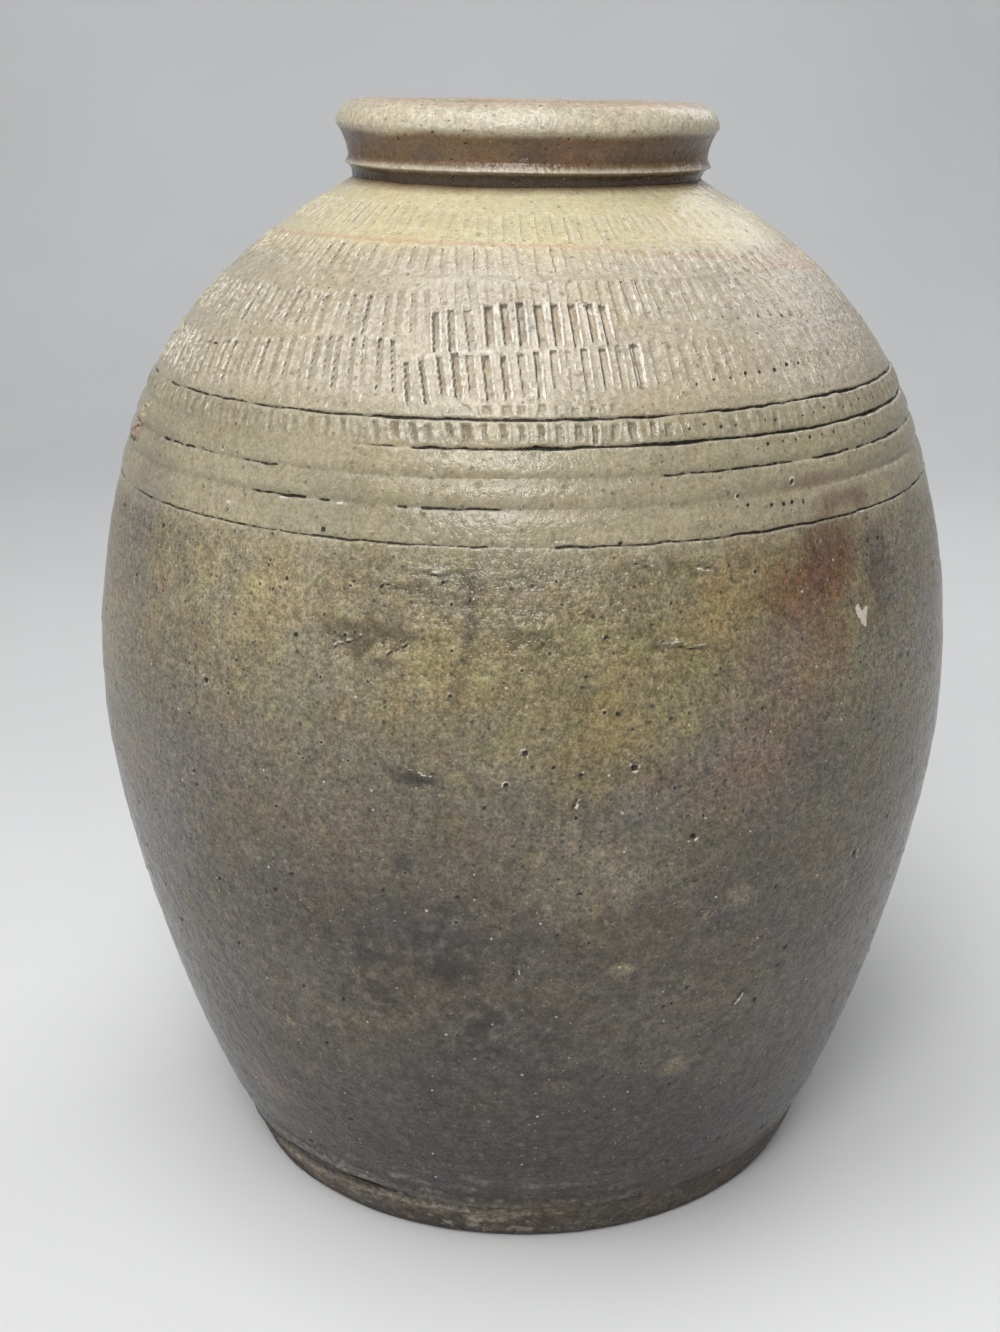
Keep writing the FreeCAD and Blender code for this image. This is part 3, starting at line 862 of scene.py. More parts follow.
# Coloured patches: angle, height, half width, half height, slope in degrees, colour, strength.
# The first ones are those seen on the front, the rest lie round the back.
PATCHES = (
    (4, 262, 75, 34, 0, GOLD_OLIVE, 0.75),
    (25, 276, 45, 24, 0, GOLD_OLIVE, 0.6),
    (-38, 276, 32, 26, 0, GOLD_OLIVE, 0.4),
    (-36, 286, 36, 22, 0, GREY_OLIVE, 0.4),
    (22, 222, 60, 16, 14, MAUVE, 0.45),
    (31, 290, 24, 14, 0, GOLD_BROWN, 0.45),
    (40, 295, 26, 13, 25, RUST, 0.75),
    (37, 279, 20, 22, 0, RUST, 0.55),
    (33, 262, 26, 20, 20, RED_BROWN, 0.45),
    (50, 287, 11, 20, 0, PLUM, 0.6),
    (30, 229, 22, 20, 0, RED_BROWN, 0.5),
    (36, 222, 16, 16, 0, PLUM, 0.3),
    (44, 312.5, 22, 4, 0, RED_BROWN, 0.7),
    (40, 321, 20, 2.5, 0, RED_BROWN, 0.6),
    (62, 235, 40, 60, 0, MAUVE, 0.5),
    (45, 258, 8, 9, 0, GREEN_OLIVE, 0.6),
    (-52, 205, 48, 34, 0, MAUVE, 0.55),
    (-58, 300, 18, 40, 0, MAUVE, 0.3),
    (-12, 225, 10, 3.5, -8, SMOKE, 0.75),
    (-6, 284, 3.2, 14, 0, SMOKE, 0.45),
    (-7, 252, 4.5, 14, 0, SMOKE, 0.3),
    (-14, 192, 3.5, 3.5, 0, SMOKE, 0.7),
    (-12, 155, 42, 24, 0, SMOKE, 0.5),
    (-19, 148, 9, 6, 0, SMOKE, 0.5),
    (-13, 164, 8, 6, 0, DARK_UMBER, 0.55),
    (-9, 147, 9, 5, 0, DARK_UMBER, 0.6),
    (-17, 133, 10, 5, 0, DARK_UMBER, 0.5),
    (-5, 122, 14, 7, 0, DARK_UMBER, 0.5),
    (6, 112, 16, 7, 0, DARK_UMBER, 0.45),
    (24, 128, 18, 9, 0, RED_BROWN, 0.25),
    (-4, 112, 48, 26, 0, SMOKE, 0.45),
    (8, 186, 30, 22, 0, BELLY_OLIVE, 0.4),
    (18, 110, 42, 20, 0, LOW_OLIVE, 0.5),
    (-22, 205, 30, 16, 0, RED_BROWN, 0.3),
    (21.7, 95.6, 7, 5, 0, BEIGE, 0.3),
    (12, 147, 4.5, 4, 0, BEIGE, 0.3),
    (27, 173, 6, 5, 0, BEIGE, 0.28),
    (1.5, 196, 5, 3.5, 0, BEIGE, 0.28),
    (-45, 62, 16, 9, 0, RED_BROWN, 0.4),
    (-46, 13, 38, 8, 0, TAN, 0.6),
    (-20, 15, 34, 5, 0, TAN, 0.5),
    (1, 377, 4, 4.5, 0, MAUVE, 0.7),
    (-20, 318, 60, 10, 0, GREEN_OLIVE, 0.35),
    (-45, 340, 40, 8, 0, BELLY_OLIVE, 0.35),
    (62, 368, 40, 24, 0, MAUVE, 0.18),
    (20, 414, 60, 5, 0, KHAKI, 0.5),
    (70, 392, 26, 6, 0, SALMON, 0.55),
    (46, 372, 48, 24, 0, PALE_STONE, 0.32),
    (2, 395, 70, 7, 0, PALE_STONE, 0.45),
    (-5, 369, 56, 19, 0, PALE_STONE, 0.42),
    (105, 250, 70, 45, 0, GOLD_OLIVE, 0.6),
    (120, 180, 60, 40, 0, MAUVE, 0.5),
    (150, 290, 30, 20, 0, RUST, 0.55),
    (160, 230, 60, 30, 10, GREEN_OLIVE, 0.55),
    (175, 120, 60, 40, 0, SMOKE, 0.45),
    (-160, 265, 60, 40, 0, GOLD_OLIVE, 0.6),
    (-140, 185, 50, 40, -8, RED_BROWN, 0.4),
    (-115, 255, 45, 50, 0, GREEN_OLIVE, 0.5),
    (-105, 150, 50, 35, 0, SMOKE, 0.4),
    (-130, 330, 50, 14, 0, BELLY_OLIVE, 0.4),
    (135, 360, 40, 20, 0, MAUVE, 0.3),
)
PATCH_SEED = 70

# Heights between which the clay turns from bare to glazed, and how coarse the glaze is, by height
BARE_END = 18.0
GLAZE_START = 34.0
COARSE_HEIGHTS = (296, 312, 396, 408)
COARSE_SHARES = (1.0, 0.35, 0.3, 0.1)

# The pink edge of the upper glaze: angle and height along it, its half width and strength
PINK_ANGLES = (-180, -100, -67, -45, -13, 8, 30, 44, 54, 72, 110, 150, 180)
PINK_HEIGHTS = (397, 399, 401.2, 402.3, 402.1, 401.0, 398.1, 395.0, 391.5, 386.5, 388, 394, 397)
PINK_WIDTH = 1.2
PINK_STRENGTH = 0.55


def paint_ground(skin):
    """Glaze and clay colours: by height first, then in patches."""
    heights, colours = zip(*GROUND_STOPS)
    drifted = skin.height + BODY_WANDER * skin.lumps(50, 40, 62)
    drifted = np.where(skin.height < WANDER_LOW, skin.height + sway(skin.angle, 63, FOOT_WANDER), drifted)
    drifted = np.where(skin.height > WANDER_HIGH, skin.height, drifted)
    ground = np.stack([np.interp(drifted, heights, levels) for levels in np.array(colours).T], axis=-1)
    for number, (*place, colour, strength) in enumerate(PATCHES):
        ground = blend(ground, colour, strength * patch_share(skin, *place, PATCH_SEED + number))
    ground *= 1 + PEBBLE_TONE * pebbles(skin)[..., None]
    pink = np.interp(skin.degrees, PINK_ANGLES, PINK_HEIGHTS)
    share = PINK_STRENGTH * bell((skin.height - pink) / skin.rise, PINK_WIDTH)
    skin.ground = blend(ground, SALMON, share)
    skin.tint("bare", smooth(skin.height, GLAZE_START, BARE_END))
    skin.tint("coarse", np.interp(skin.height, COARSE_HEIGHTS, COARSE_SHARES))


# The step between two bands of strokes, the soft groove on the right, and the swell between drawn lines
STEP_Z = 390.6
STEP_DRIFT = 1.2
STEP_SIZE = 0.35
STEP_HALF = 0.9
SOFT_GROOVE_Z = 320.3
SOFT_GROOVE_DEPTH = 0.8
SOFT_GROOVE_HALF = 2.1
BAND_SWELL = 0.8


def shape_shoulder(skin):
    """The small step between two bands of strokes, the broad soft groove on the right, and swollen bands
    between the drawn lines."""
    step = STEP_Z + sway(skin.angle, 81, STEP_DRIFT)
    skin.relief += STEP_SIZE * bell((skin.height - step) / skin.rise, STEP_HALF)
    share = smooth(skin.degrees, 24, 36) * smooth(skin.degrees, 76, 66)
    groove = share * bell((skin.height - SOFT_GROOVE_Z) / skin.rise, SOFT_GROOVE_HALF)
    skin.relief -= SOFT_GROOVE_DEPTH * groove
    skin.tint("floor", 0.8 * groove)
    uneven = 0.7 + 0.3 * skin.lumps(60, 30, 82)
    pale = smooth(skin.lumps(22, 5, 83), 0, 0.7)
    heights = sorted(line[0] for line in INCISED_LINES)
    for below, above in zip(heights, heights[1:]):
        off = (skin.height - (below + above) / 2) * 2 / (above - below)
        swell = np.clip(1 - off**2, 0, 1) * uneven
        skin.relief += BAND_SWELL * swell
        # Pale glaze with painted highlight on the tops of the swollen bands
        skin.tint("crest", 0.35 * smooth(swell, 0.5, 1.0) * pale)


# Dabs of the white fleck: from angle and height to angle and height, half width
FLECK_DABS = (
    (44.6, 272.4, 44.9, 270.4, 1.5), (46.1, 271.8, 45.9, 270.0, 1.0), (45.2, 270.4, 45.6, 266.6, 1.6),
)
DAB_REACH = 8.0
DAB_RAGGED = 0.5
DAB_RISE = 0.3


def chalk_fleck(skin):
    """The small white fleck on the right, three dabs of chalky glaze."""
    for from_angle, from_height, to_angle, to_height, half_width in FLECK_DABS:
        angle = math.radians((from_angle + to_angle) / 2)
        window, across, up = skin.near(angle, (from_height + to_height) / 2, DAB_REACH, DAB_REACH)
        dx = math.radians(to_angle - from_angle) * skin.radius[window].mean()
        dy = to_height - from_height
        length = math.hypot(dx, dy)
        along = np.clip((across * dx + up * dy) / length, -length / 2, length / 2)
        distance = np.hypot(across - along * dx / length, up - along * dy / length)
        ragged = DAB_RAGGED * lumps(skin.turn[window], skin.height[window], 2, 2, 84)
        skin.draw("lip", half_width + ragged - distance, window)
        skin.tint("crest", smooth(distance, 1.2, 0.4), window)
        skin.relief[window] += DAB_RISE * smooth(distance, 1.5, 0.4)


def make_skins():
    """The upper and lower part of the outer face, with everything that is on them."""
    edges = sorted({line[0] for line in INCISED_LINES} | {band.top for band in STROKE_BANDS})
    upper = Skin((
        ("shoulder_lower", BELLY_UPPER_Z, SHOULDER_Z, COARSE_STEP),
        ("shoulder_upper", SHOULDER_Z, CAP_Z, SHOULDER_STEP),
        ("shoulder_cap", CAP_Z, NECK_Z, CAP_STEP),
    ), UPPER_COLUMNS, edges)
    lower = Skin((
        ("foot_band", 0.0, FOOT_BAND_Z, SCRAPE_STEP),
        ("lower_wall", FOOT_BAND_Z, SCRAPE_TOP, SCRAPE_STEP),
        ("lower_wall", SCRAPE_TOP, LOWER_WALL_Z, COARSE_STEP),
        ("belly_lower", LOWER_WALL_Z, BELLY_Z, COARSE_STEP),
        ("belly_upper", BELLY_Z, BELLY_UPPER_Z, SHOULDER_STEP),
    ), LOWER_COLUMNS)
    for skin in (upper, lower):
        shape_by_hand(skin)
        paint_ground(skin)
        mark_surface(skin)
    for work in (press_bands, press_dots, scatter_flecks, cut_lines, shape_shoulder):
        work(upper)
    for work in (scrape_foot, scrape_ridges, chalk_fleck):
        work(lower)
    return upper, lower


def new_mesh(name, points, faces):
    """A smooth-shaded mesh from points in millimetres."""
    mesh = bpy.data.meshes.new(name)
    mesh.from_pydata(np.array(points) * MM, [], faces)
    mesh.polygons.foreach_set("use_smooth", np.ones(len(faces), dtype=bool))
    return mesh


def lean(points):
    """Moves the neck and rim off the axis and tilts them, as they were thrown."""
    share = smooth(points[..., 2], LEAN_LOW, LEAN_HIGH)
    points[..., 2] -= share * math.tan(NECK_TILT) * points[..., 0]
    points[..., 0] += share * NECK_SHIFT
    return points


# Share of the picture map that the outer rows take
SHOWN_SHARE = 0.85


def unwrap(mesh, rows, columns, shown):
    """A map with the outer rows spread over most of it, and a seam at the back."""
    steps = np.full(rows, (1 - SHOWN_SHARE) / (rows - shown + 1))
    steps[:shown - 1] = SHOWN_SHARE / (shown - 1)
    v = np.append(0.0, np.cumsum(steps))
    u = np.arange(columns + 1) / columns
    low_u, low_v = np.meshgrid(u[:-1], v[:-1])
    high_u, high_v = np.meshgrid(u[1:], v[1:])
    places = np.stack([low_u, low_v, high_u, low_v, high_u, high_v, low_u, high_v], axis=-1)
    layer = mesh.uv_layers.new(name="OFBake")
    layer.uv.foreach_set("vector", places.reshape(-1).astype(np.float32))


def turned_mesh(name, radius, height, angle, corners, shown):
    """A closed mesh from rows of radii and heights round the axis. Corners are rows with a sharp edge,
    shown is the number of rows, counted from the first, that take most of the picture map."""
    points = lean(np.stack([radius * np.sin(angle), -radius * np.cos(angle), height], axis=-1))
    rows, columns = radius.shape
    here = np.arange(rows * columns).reshape(rows, columns)
    right = np.roll(here, -1, axis=1)
    faces = np.stack([here, right, np.roll(right, -1, axis=0), np.roll(here, -1, axis=0)], axis=-1)
    mesh = new_mesh(name, points.reshape(-1, 3), faces.reshape(-1, 4))
    edges = np.zeros(len(mesh.edges) * 2, dtype=np.int32)
    mesh.edges.foreach_get("vertices", edges)
    first, second = edges.reshape(-1, 2).T // columns
    sharp = (first == second) & np.isin(first, corners)
    mesh.attributes.new("sharp_edge", "BOOLEAN", "EDGE").data.foreach_set("value", sharp)
    unwrap(mesh, rows, columns, shown)
    return mesh


def add_marks(mesh, ground, **marks):
    """Stores each point's colour and marks. A mark that is left out counts as zero."""
    colour = np.ones(ground.shape[:-1] + (4,), dtype=np.float32)
    colour[..., :3] = ground
    mesh.attributes.new("ground", "FLOAT_COLOR", "POINT").data.foreach_set("color", colour.reshape(-1))
    for name, values in marks.items():
        layer = mesh.attributes.new(name, "FLOAT", "POINT")
        layer.data.foreach_set("value", values.reshape(-1).astype(np.float32))


class Sheet:
    """Short calls for putting a material's nodes together."""

    def __init__(self, name):
        self.material = bpy.data.materials.new(name)
        self.material.use_nodes = True
        self.tree = self.material.node_tree
        self.shader = self.tree.nodes["Principled BSDF"].inputs
        self.place = self.node("TexCoord", "Object", {})

    def feed(self, socket, value):
        """Links an output to a socket, or sets a plain value or a tone on it."""
        if isinstance(value, bpy.types.NodeSocket):
            self.tree.links.new(value, socket)
        elif isinstance(value, np.ndarray):
            socket.default_value = (*value, 1.0)
        else:
            socket.default_value = value

    def node(self, kind, output, inputs, **settings):
        """One output of a new node, with its inputs by name or number."""
        node = self.tree.nodes.new("ShaderNode" + kind)
        for key, value in settings.items():
            setattr(node, key, value)
        for socket, value in inputs.items():
            self.feed(node.inputs[socket], value)
        return node.outputs[output]

    def mark(self, name, output="Fac"):
        """A value stored at the mesh's points."""
        return self.node("Attribute", output, {}, attribute_name=name)

    def noise(self, scale, detail, roughness=0.55, output="Fac", place=None):
        """Noise of a scale, in metres, at the point or at another place."""
        inputs = {"Vector": place or self.place, "Scale": scale, "Detail": detail, "Roughness": roughness}
        return self.node("TexNoise", output, inputs)

    def stretched_place(self, level, upright):
        """The place of a point with its width or height squeezed, so that noise comes out in streaks."""
        inputs = {0: self.place, 1: (level, level, upright)}
        return self.node("VectorMath", "Vector", inputs, operation="MULTIPLY")

    def warped_place(self, scale, reach):
        """The place of a point, shifted by noise, so that spots come out ragged."""
        inputs = {0: self.noise(scale, 2.0, output="Color"), 1: (reach, reach, reach), 2: self.place}
        return self.node("VectorMath", "Vector", inputs, operation="MULTIPLY_ADD")

    def spread(self, value, low, high, to_low=0.0, to_high=1.0):
        """A value's range from low to high, taken to another range and held at its ends."""
        return self.node("MapRange", "Result", dict(enumerate((value, low, high, to_low, to_high))))

    def math(self, operation, first, second):
        """A sum, product or other result of two values."""
        return self.node("Math", "Value", {0: first, 1: second}, operation=operation)

    def mix(self, share, first, second, kind="MIX"):
        """The first colour taken towards the second by a share."""
        return self.node("Mix", 2, {0: share, 6: first, 7: second}, data_type="RGBA", blend_type=kind)

    def grey(self, value):
        """A grey of a value."""
        return self.node("CombineColor", "Color", dict.fromkeys(range(3), value))

    def cells(self, place, scale, share):
        """Cells of which a share has a spot: whether a cell has it, and the distance to its middle."""
        distance = self.node("TexVoronoi", "Distance", {"Vector": place, "Scale": scale})
        chance = self.node("SeparateColor", "Red", {"Color": distance.node.outputs["Color"]})
        return self.math("LESS_THAN", chance, share), distance

    def disc(self, cells, outer, inner):
        """1 inside the inner radius of each cell's spot, and 0 outside the outer radius."""
        picked, distance = cells
        return self.math("MULTIPLY", picked, self.spread(distance, outer, inner))

    def spots(self, place, scale, radius, share):
        """Ragged spots in a share of the cells, 1 in the middle and 0 outside."""
        return self.disc(self.cells(place, scale, share), radius, radius * 0.7)

    def bump(self, value, strength, distance, **below):
        """The surface's direction with a value as its relief, laid over another relief given as Normal."""
        inputs = {"Height": value, "Strength": strength, "Distance": distance, **below}
        return self.node("Bump", "Normal", inputs)


# Tints that drift over the glaze: colour multiplier, size of the noise, and the range of noise that takes it
GLAZE_TINTS = (
    ((1.05, 0.99, 0.86), 26.0, 0.48, 0.62),
    ((0.97, 0.98, 1.05), 38.0, 0.50, 0.64),
    ((1.04, 0.97, 0.95), 70.0, 0.52, 0.66),
    ((0.96, 1.02, 0.92), 95.0, 0.52, 0.66),
)
# How ragged the edges of the pooled shade and the lips are, and size and share of the pinholes
EDGE_RAGGED = 0.08
LIP_RAGGED = 0.13
PINHOLE_RADIUS = 0.085
PINHOLE_SHARE = 0.38


def pot_material(name, gloss_low, gloss_high):
    """Fired clay under thin glaze: the ground colour, clouded and specked, with painted glints, pale on
    crests and lips from thin glaze with painted highlights, brown on the floors of strokes, and black where
    the glaze has pooled, which also serves as painted shade in hollows, grooves, slits and pits."""
    sheet = Sheet(name)
    coarse = sheet.mark("coarse")
    clouds = sheet.noise(24.0, 4.0, 0.6)
    mottles = sheet.noise(150.0, 4.0, 0.65)
    lumpy = sheet.noise(420.0, 2.0)
    grain = sheet.noise(1000.0, 2.0, 0.6)
    runs = sheet.noise(300.0, 4.0, 0.65, place=sheet.stretched_place(1.0, 0.25))
    turning = sheet.noise(520.0, 3.0, 0.6, place=sheet.stretched_place(0.05, 1.0))
    clouding = ((clouds, 0.12), (mottles, 0.18), (runs, 0.05), (turning, 0.08), (lumpy, 0.30), (grain, 0.38))
    colour = sheet.mark("ground", "Color")
    for tint, scale, low, high in GLAZE_TINTS:
        share = sheet.spread(sheet.noise(scale, 3.0), low, high)
        share = sheet.math("MULTIPLY", share, sheet.spread(coarse, 0.3, 1.0, 0.35, 1.0))
        colour = sheet.mix(share, colour, (*tint, 1.0), "MULTIPLY")
    for layer, amount in clouding:
        shade = sheet.grey(sheet.spread(layer, 0.32, 0.68, 1 - amount, 1 + amount))
        colour = sheet.mix(sheet.spread(coarse, 0.1, 1.0, 0.25, 1.0), colour, shade, "MULTIPLY")
    worn = sheet.mark("floor")
    floor = sheet.math("MULTIPLY", worn, sheet.spread(mottles, 0.35, 0.65, 0.7, 0.25))
    # Crests are pale from thin glaze, with painted highlights on them
    crest = sheet.math("MULTIPLY", sheet.mark("crest"), sheet.spread(lumpy, 0.4, 0.6, 0.2, 0.9))
    colour = sheet.mix(floor, colour, WORN_FLOOR)
    colour = sheet.mix(crest, colour, PALE_GLAZE_AND_HIGHLIGHT)

    place = sheet.warped_place(900.0, 0.9 * MM)
    specks = sheet.spots(place, 380.0, 0.22, 0.2)
    # Painted glints: small bright specks standing for sparkles of light on the glaze
    glint_specks = sheet.spots(place, 170.0, 0.11, 0.22)
    soot = sheet.spots(place, 290.0, 0.23, 0.3)
    pinholes = sheet.cells(place, 112.0, PINHOLE_SHARE)
    pits = sheet.disc(pinholes, PINHOLE_RADIUS, PINHOLE_RADIUS * 0.7)
    rings = sheet.math("SUBTRACT", sheet.disc(pinholes, PINHOLE_RADIUS * 2.1, PINHOLE_RADIUS * 1.3), pits)
    craters = sheet.spots(sheet.warped_place(300.0, 4 * MM), 32.0, 0.10, 0.30)
    broken = sheet.math("MULTIPLY", craters, sheet.spread(lumpy, 0.45, 0.55))
    spotting = ((specks, 0.5, BEIGE), (glint_specks, 0.62, PALE_GLAZE_AND_HIGHLIGHT), (soot, 0.75, SMOKE),
                (broken, 0.3, BEIGE), (rings, 0.1, PALE_GLAZE_AND_HIGHLIGHT), (pits, 0.95, POOLED_GLAZE_AND_SHADE))
    for spot, strength, spot_tone in spotting:
        share = sheet.math("MULTIPLY", spot, sheet.spread(coarse, 0.0, 1.0, 0.2 * strength, strength))
        colour = sheet.mix(share, colour, spot_tone)

    ragged = sheet.spread(lumpy, 0.3, 0.7, -EDGE_RAGGED, EDGE_RAGGED)
    knobbly = sheet.spread(lumpy, 0.3, 0.7, -LIP_RAGGED, LIP_RAGGED)
    lip = sheet.spread(sheet.math("ADD", sheet.mark("lip"), knobbly), 0.45, 0.55, 0.0, 0.75)
    ink = sheet.spread(sheet.math("ADD", sheet.mark("ink"), ragged), 0.46, 0.54, 0.0, 0.95)
    inked = sheet.math("MULTIPLY", ink, sheet.spread(worn, 0.1, 0.8, 1.0, 0.62))
    # Painted shade in hollows, with pooled glaze
    colour = sheet.mix(sheet.spread(sheet.mark("hollow"), 0.0, 1.0, 0.0, 0.9), colour, POOLED_GLAZE_AND_SHADE)
    # Pale lips of thin glaze, with painted highlights
    colour = sheet.mix(lip, colour, PALE_GLAZE_AND_HIGHLIGHT)
    # Painted shade with pooled glaze in grooves, slits and pits
    sheet.feed(sheet.shader["Base Color"], sheet.mix(inked, colour, POOLED_GLAZE_AND_SHADE))

    rough = sheet.spread(mottles, 0.35, 0.65, gloss_low, gloss_high)
    rough = sheet.math("ADD", rough, sheet.math("MULTIPLY", sheet.mark("bare"), 0.25))
    rough = sheet.math("ADD", rough, sheet.math("MULTIPLY", ink, 0.3))
    sheet.feed(sheet.shader["Roughness"], rough)

    specks = sheet.math("MAXIMUM", specks, glint_specks)
    raised = sheet.math("ADD", sheet.math("ADD", specks, rings), sheet.math("ADD", broken, lip))
    sunk = sheet.math("ADD", sheet.math("ADD", pits, soot), ink)
    relief = sheet.bump(grain, sheet.spread(coarse, 0.0, 1.0, 0.1, 0.5), 0.25 * MM)
    relief = sheet.bump(lumpy, sheet.spread(coarse, 0.0, 1.0, 0.2, 0.85), 0.9 * MM, Normal=relief)
    relief = sheet.bump(turning, 0.4, 0.35 * MM, Normal=relief)
    relief = sheet.bump(mottles, 0.5, 1.6 * MM, Normal=relief)
    relief = sheet.bump(sheet.math("SUBTRACT", raised, sunk), 0.7, 0.45 * MM, Normal=relief)
    sheet.feed(sheet.shader["Normal"], relief)
    return sheet.material


# The least and greatest roughness of each material, and the pieces of bare clay
GLOSS = {"olive_glaze": (0.14, 0.3), "bare_clay": (0.45, 0.65)}
MATERIALS = {slot: pot_material(slot, *gloss) for slot, gloss in GLOSS.items()}
BARE_PIECES = ("base_slab", "foot_band", "base_corner_coil", "kiln_scars")


def add_piece(name, mesh):
    """Puts a finished mesh in place of the member with its name."""
    slot = "bare_clay" if name in BARE_PIECES else "olive_glaze"
    piece = bpy.data.objects.new(name + "_finish", mesh)
    bpy.context.scene.collection.objects.link(piece)
    mesh.materials.append(MATERIALS[slot])
    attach(piece, "root")
    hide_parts(name)


def skin_piece(skin, name, radius, height, hidden, corners, colour):
    """A piece whose first rows lie on the skin. Hidden are the radii and heights of the rows that close it,
    which are bare clay of a colour."""
    outer = slice(*skin.spans[name])
    hidden_radius, hidden_height = hidden
    shape = (len(hidden_radius), len(skin.angle))
    shown = len(radius)
    radius = np.vstack([radius, np.broadcast_to(hidden_radius, shape)])
    height = np.vstack([height, np.broadcast_to(hidden_height, shape)])
    mesh = turned_mesh(name, radius, height, skin.angle, corners, shown)
    ground = np.concatenate([skin.ground[outer], np.broadcast_to(colour, shape + (3,))])
    marks = {mark: np.vstack([values[outer], np.full(shape, float(mark == "bare"))])
             for mark, values in skin.marks.items()}
    add_marks(mesh, ground, **marks)
    add_piece(name, mesh)


def wall_piece(skin, name, low, high, joint=()):
    """A wall section: its outer face from the skin, its inside, and the lap joints between them.
    Joint holds further corners between the inside's foot and the outer face's foot."""
    outer = slice(*skin.spans[name])
    radius = skin.radius[outer] + skin.relief[outer] * skin.rise[outer]
    height = skin.height[outer] - skin.relief[outer] * skin.run[outer]
    inner_heights = np.linspace(high, low, max(4, round((high - low) / INNER_STEP)))
    inside = np.vstack([np.column_stack(inner_point(inner_heights)), *joint])
    coils = COIL_RIPPLE * np.sin(TURN * inside[:, 1:] / COIL_SPACING + skin.angle)
    coils[[0, -1]] = 0
    shown = len(radius)
    rows = shown + len(inside)
    corners = [0, shown - 1, shown, shown + len(inner_heights) - 1, *range(rows - len(joint), rows)]
    skin_piece(skin, name, radius, height, (inside[:, :1] + coils, inside[:, 1:]), corners, INSIDE_CLAY)


def build_foot_band(skin):
    """The band round the slab: its outer face from the skin, its rounded edge, and the hidden faces."""
    outer = slice(*skin.spans["foot_band"])
    height = skin.height[outer]
    edge = np.clip(1 - height / FOOT_ROUND, 0, 1)
    rounding = FOOT_ROUND * (1 - np.sqrt(1 - edge**2))
    radius = skin.radius[outer] + skin.relief[outer] * (1 - 0.7 * edge) - rounding
    hidden = (((SLAB_RADIUS,), (SLAB_RADIUS,)), ((SLAB_Z,), (0.0,)))
    last = len(radius) - 1
    skin_piece(skin, "foot_band", radius, height, hidden, [last, last + 1, last + 2], FOOT_BROWN)


# The slab: its mesh, the arcs of the cutting wire under it, and the finger rings on its floor
SLAB_COLUMNS = 360
SLAB_RINGS = 70
SLAB_HUB = 1.5
SLAB_EDGE = 6.0
WIRE_CENTRE = (-60.0, -210.0)
WIRE_SPACING = 7.0
FINGER_SPACING = 15.0
FINGER_DEPTH = 0.5


def build_base_slab():
    """The slab: underside with the arcs of the cutting wire, edge, and a floor with finger rings."""
    angle = ring_angles(SLAB_COLUMNS)
    turn, ring = np.meshgrid(angle, np.linspace(SLAB_HUB, SLAB_RADIUS, SLAB_RINGS))
    edge = smooth(SLAB_RADIUS - ring, 0.0, SLAB_EDGE)
    arcs = np.hypot(ring * np.sin(turn) - WIRE_CENTRE[0], -ring * np.cos(turn) - WIRE_CENTRE[1])
    wire = 0.5 + 0.5 * np.sin(TURN * arcs / WIRE_SPACING + 2 * lumps(turn, ring, 60, 20, 101))
    rough = lumps(turn, ring, 9, 4, 102)
    under = edge * (0.35 + 0.3 * wire + 0.2 * rough)
    fingers = FINGER_DEPTH * np.sin(TURN * ring / FINGER_SPACING + turn) * edge
    radius = np.vstack([ring, ring[::-1]])
    height = np.vstack([under, SLAB_Z + np.minimum(fingers[::-1], 0)])
    mesh = turned_mesh("base_slab", radius, height, angle, [SLAB_RINGS - 1, SLAB_RINGS], SLAB_RINGS)
    close_hub(mesh)
    below = FOOT_BROWN * (1 + 0.25 * rough[..., None])
    ground = np.concatenate([below, np.broadcast_to(INSIDE_CLAY, below.shape)])
    hollow = np.vstack([0.25 * (1 - wire) * edge, np.zeros_like(ring)])
    add_marks(mesh, ground, hollow=hollow, bare=np.ones_like(radius))
    add_piece("base_slab", mesh)


def close_hub(mesh):
    """Takes out the tube between the slab's first and last ring and closes both rings with a face."""
    work = bmesh.new()
    work.from_mesh(mesh)
    points = list(work.verts)
    first = points[:SLAB_COLUMNS]
    last = points[-SLAB_COLUMNS:]
    ends = (set(first), set(last))
    tube = [face for face in work.faces if not any(end.isdisjoint(face.verts) for end in ends)]
    bmesh.ops.delete(work, geom=tube, context="FACES_ONLY")
    for ring in (first[::-1], last):
        work.faces.new(ring)
    bmesh.ops.recalc_face_normals(work, faces=work.faces)
    work.to_mesh(mesh)
    work.free()


# Unevenness of turned pieces: size, width round them and length along the section; pits and coarse glaze
LATHE_LUMPS = ((0.3, 60, 30), (0.1, 12, 5), (0.05, 4, 3))
LATHE_PITS = 60
LATHE_COARSE = 0.4


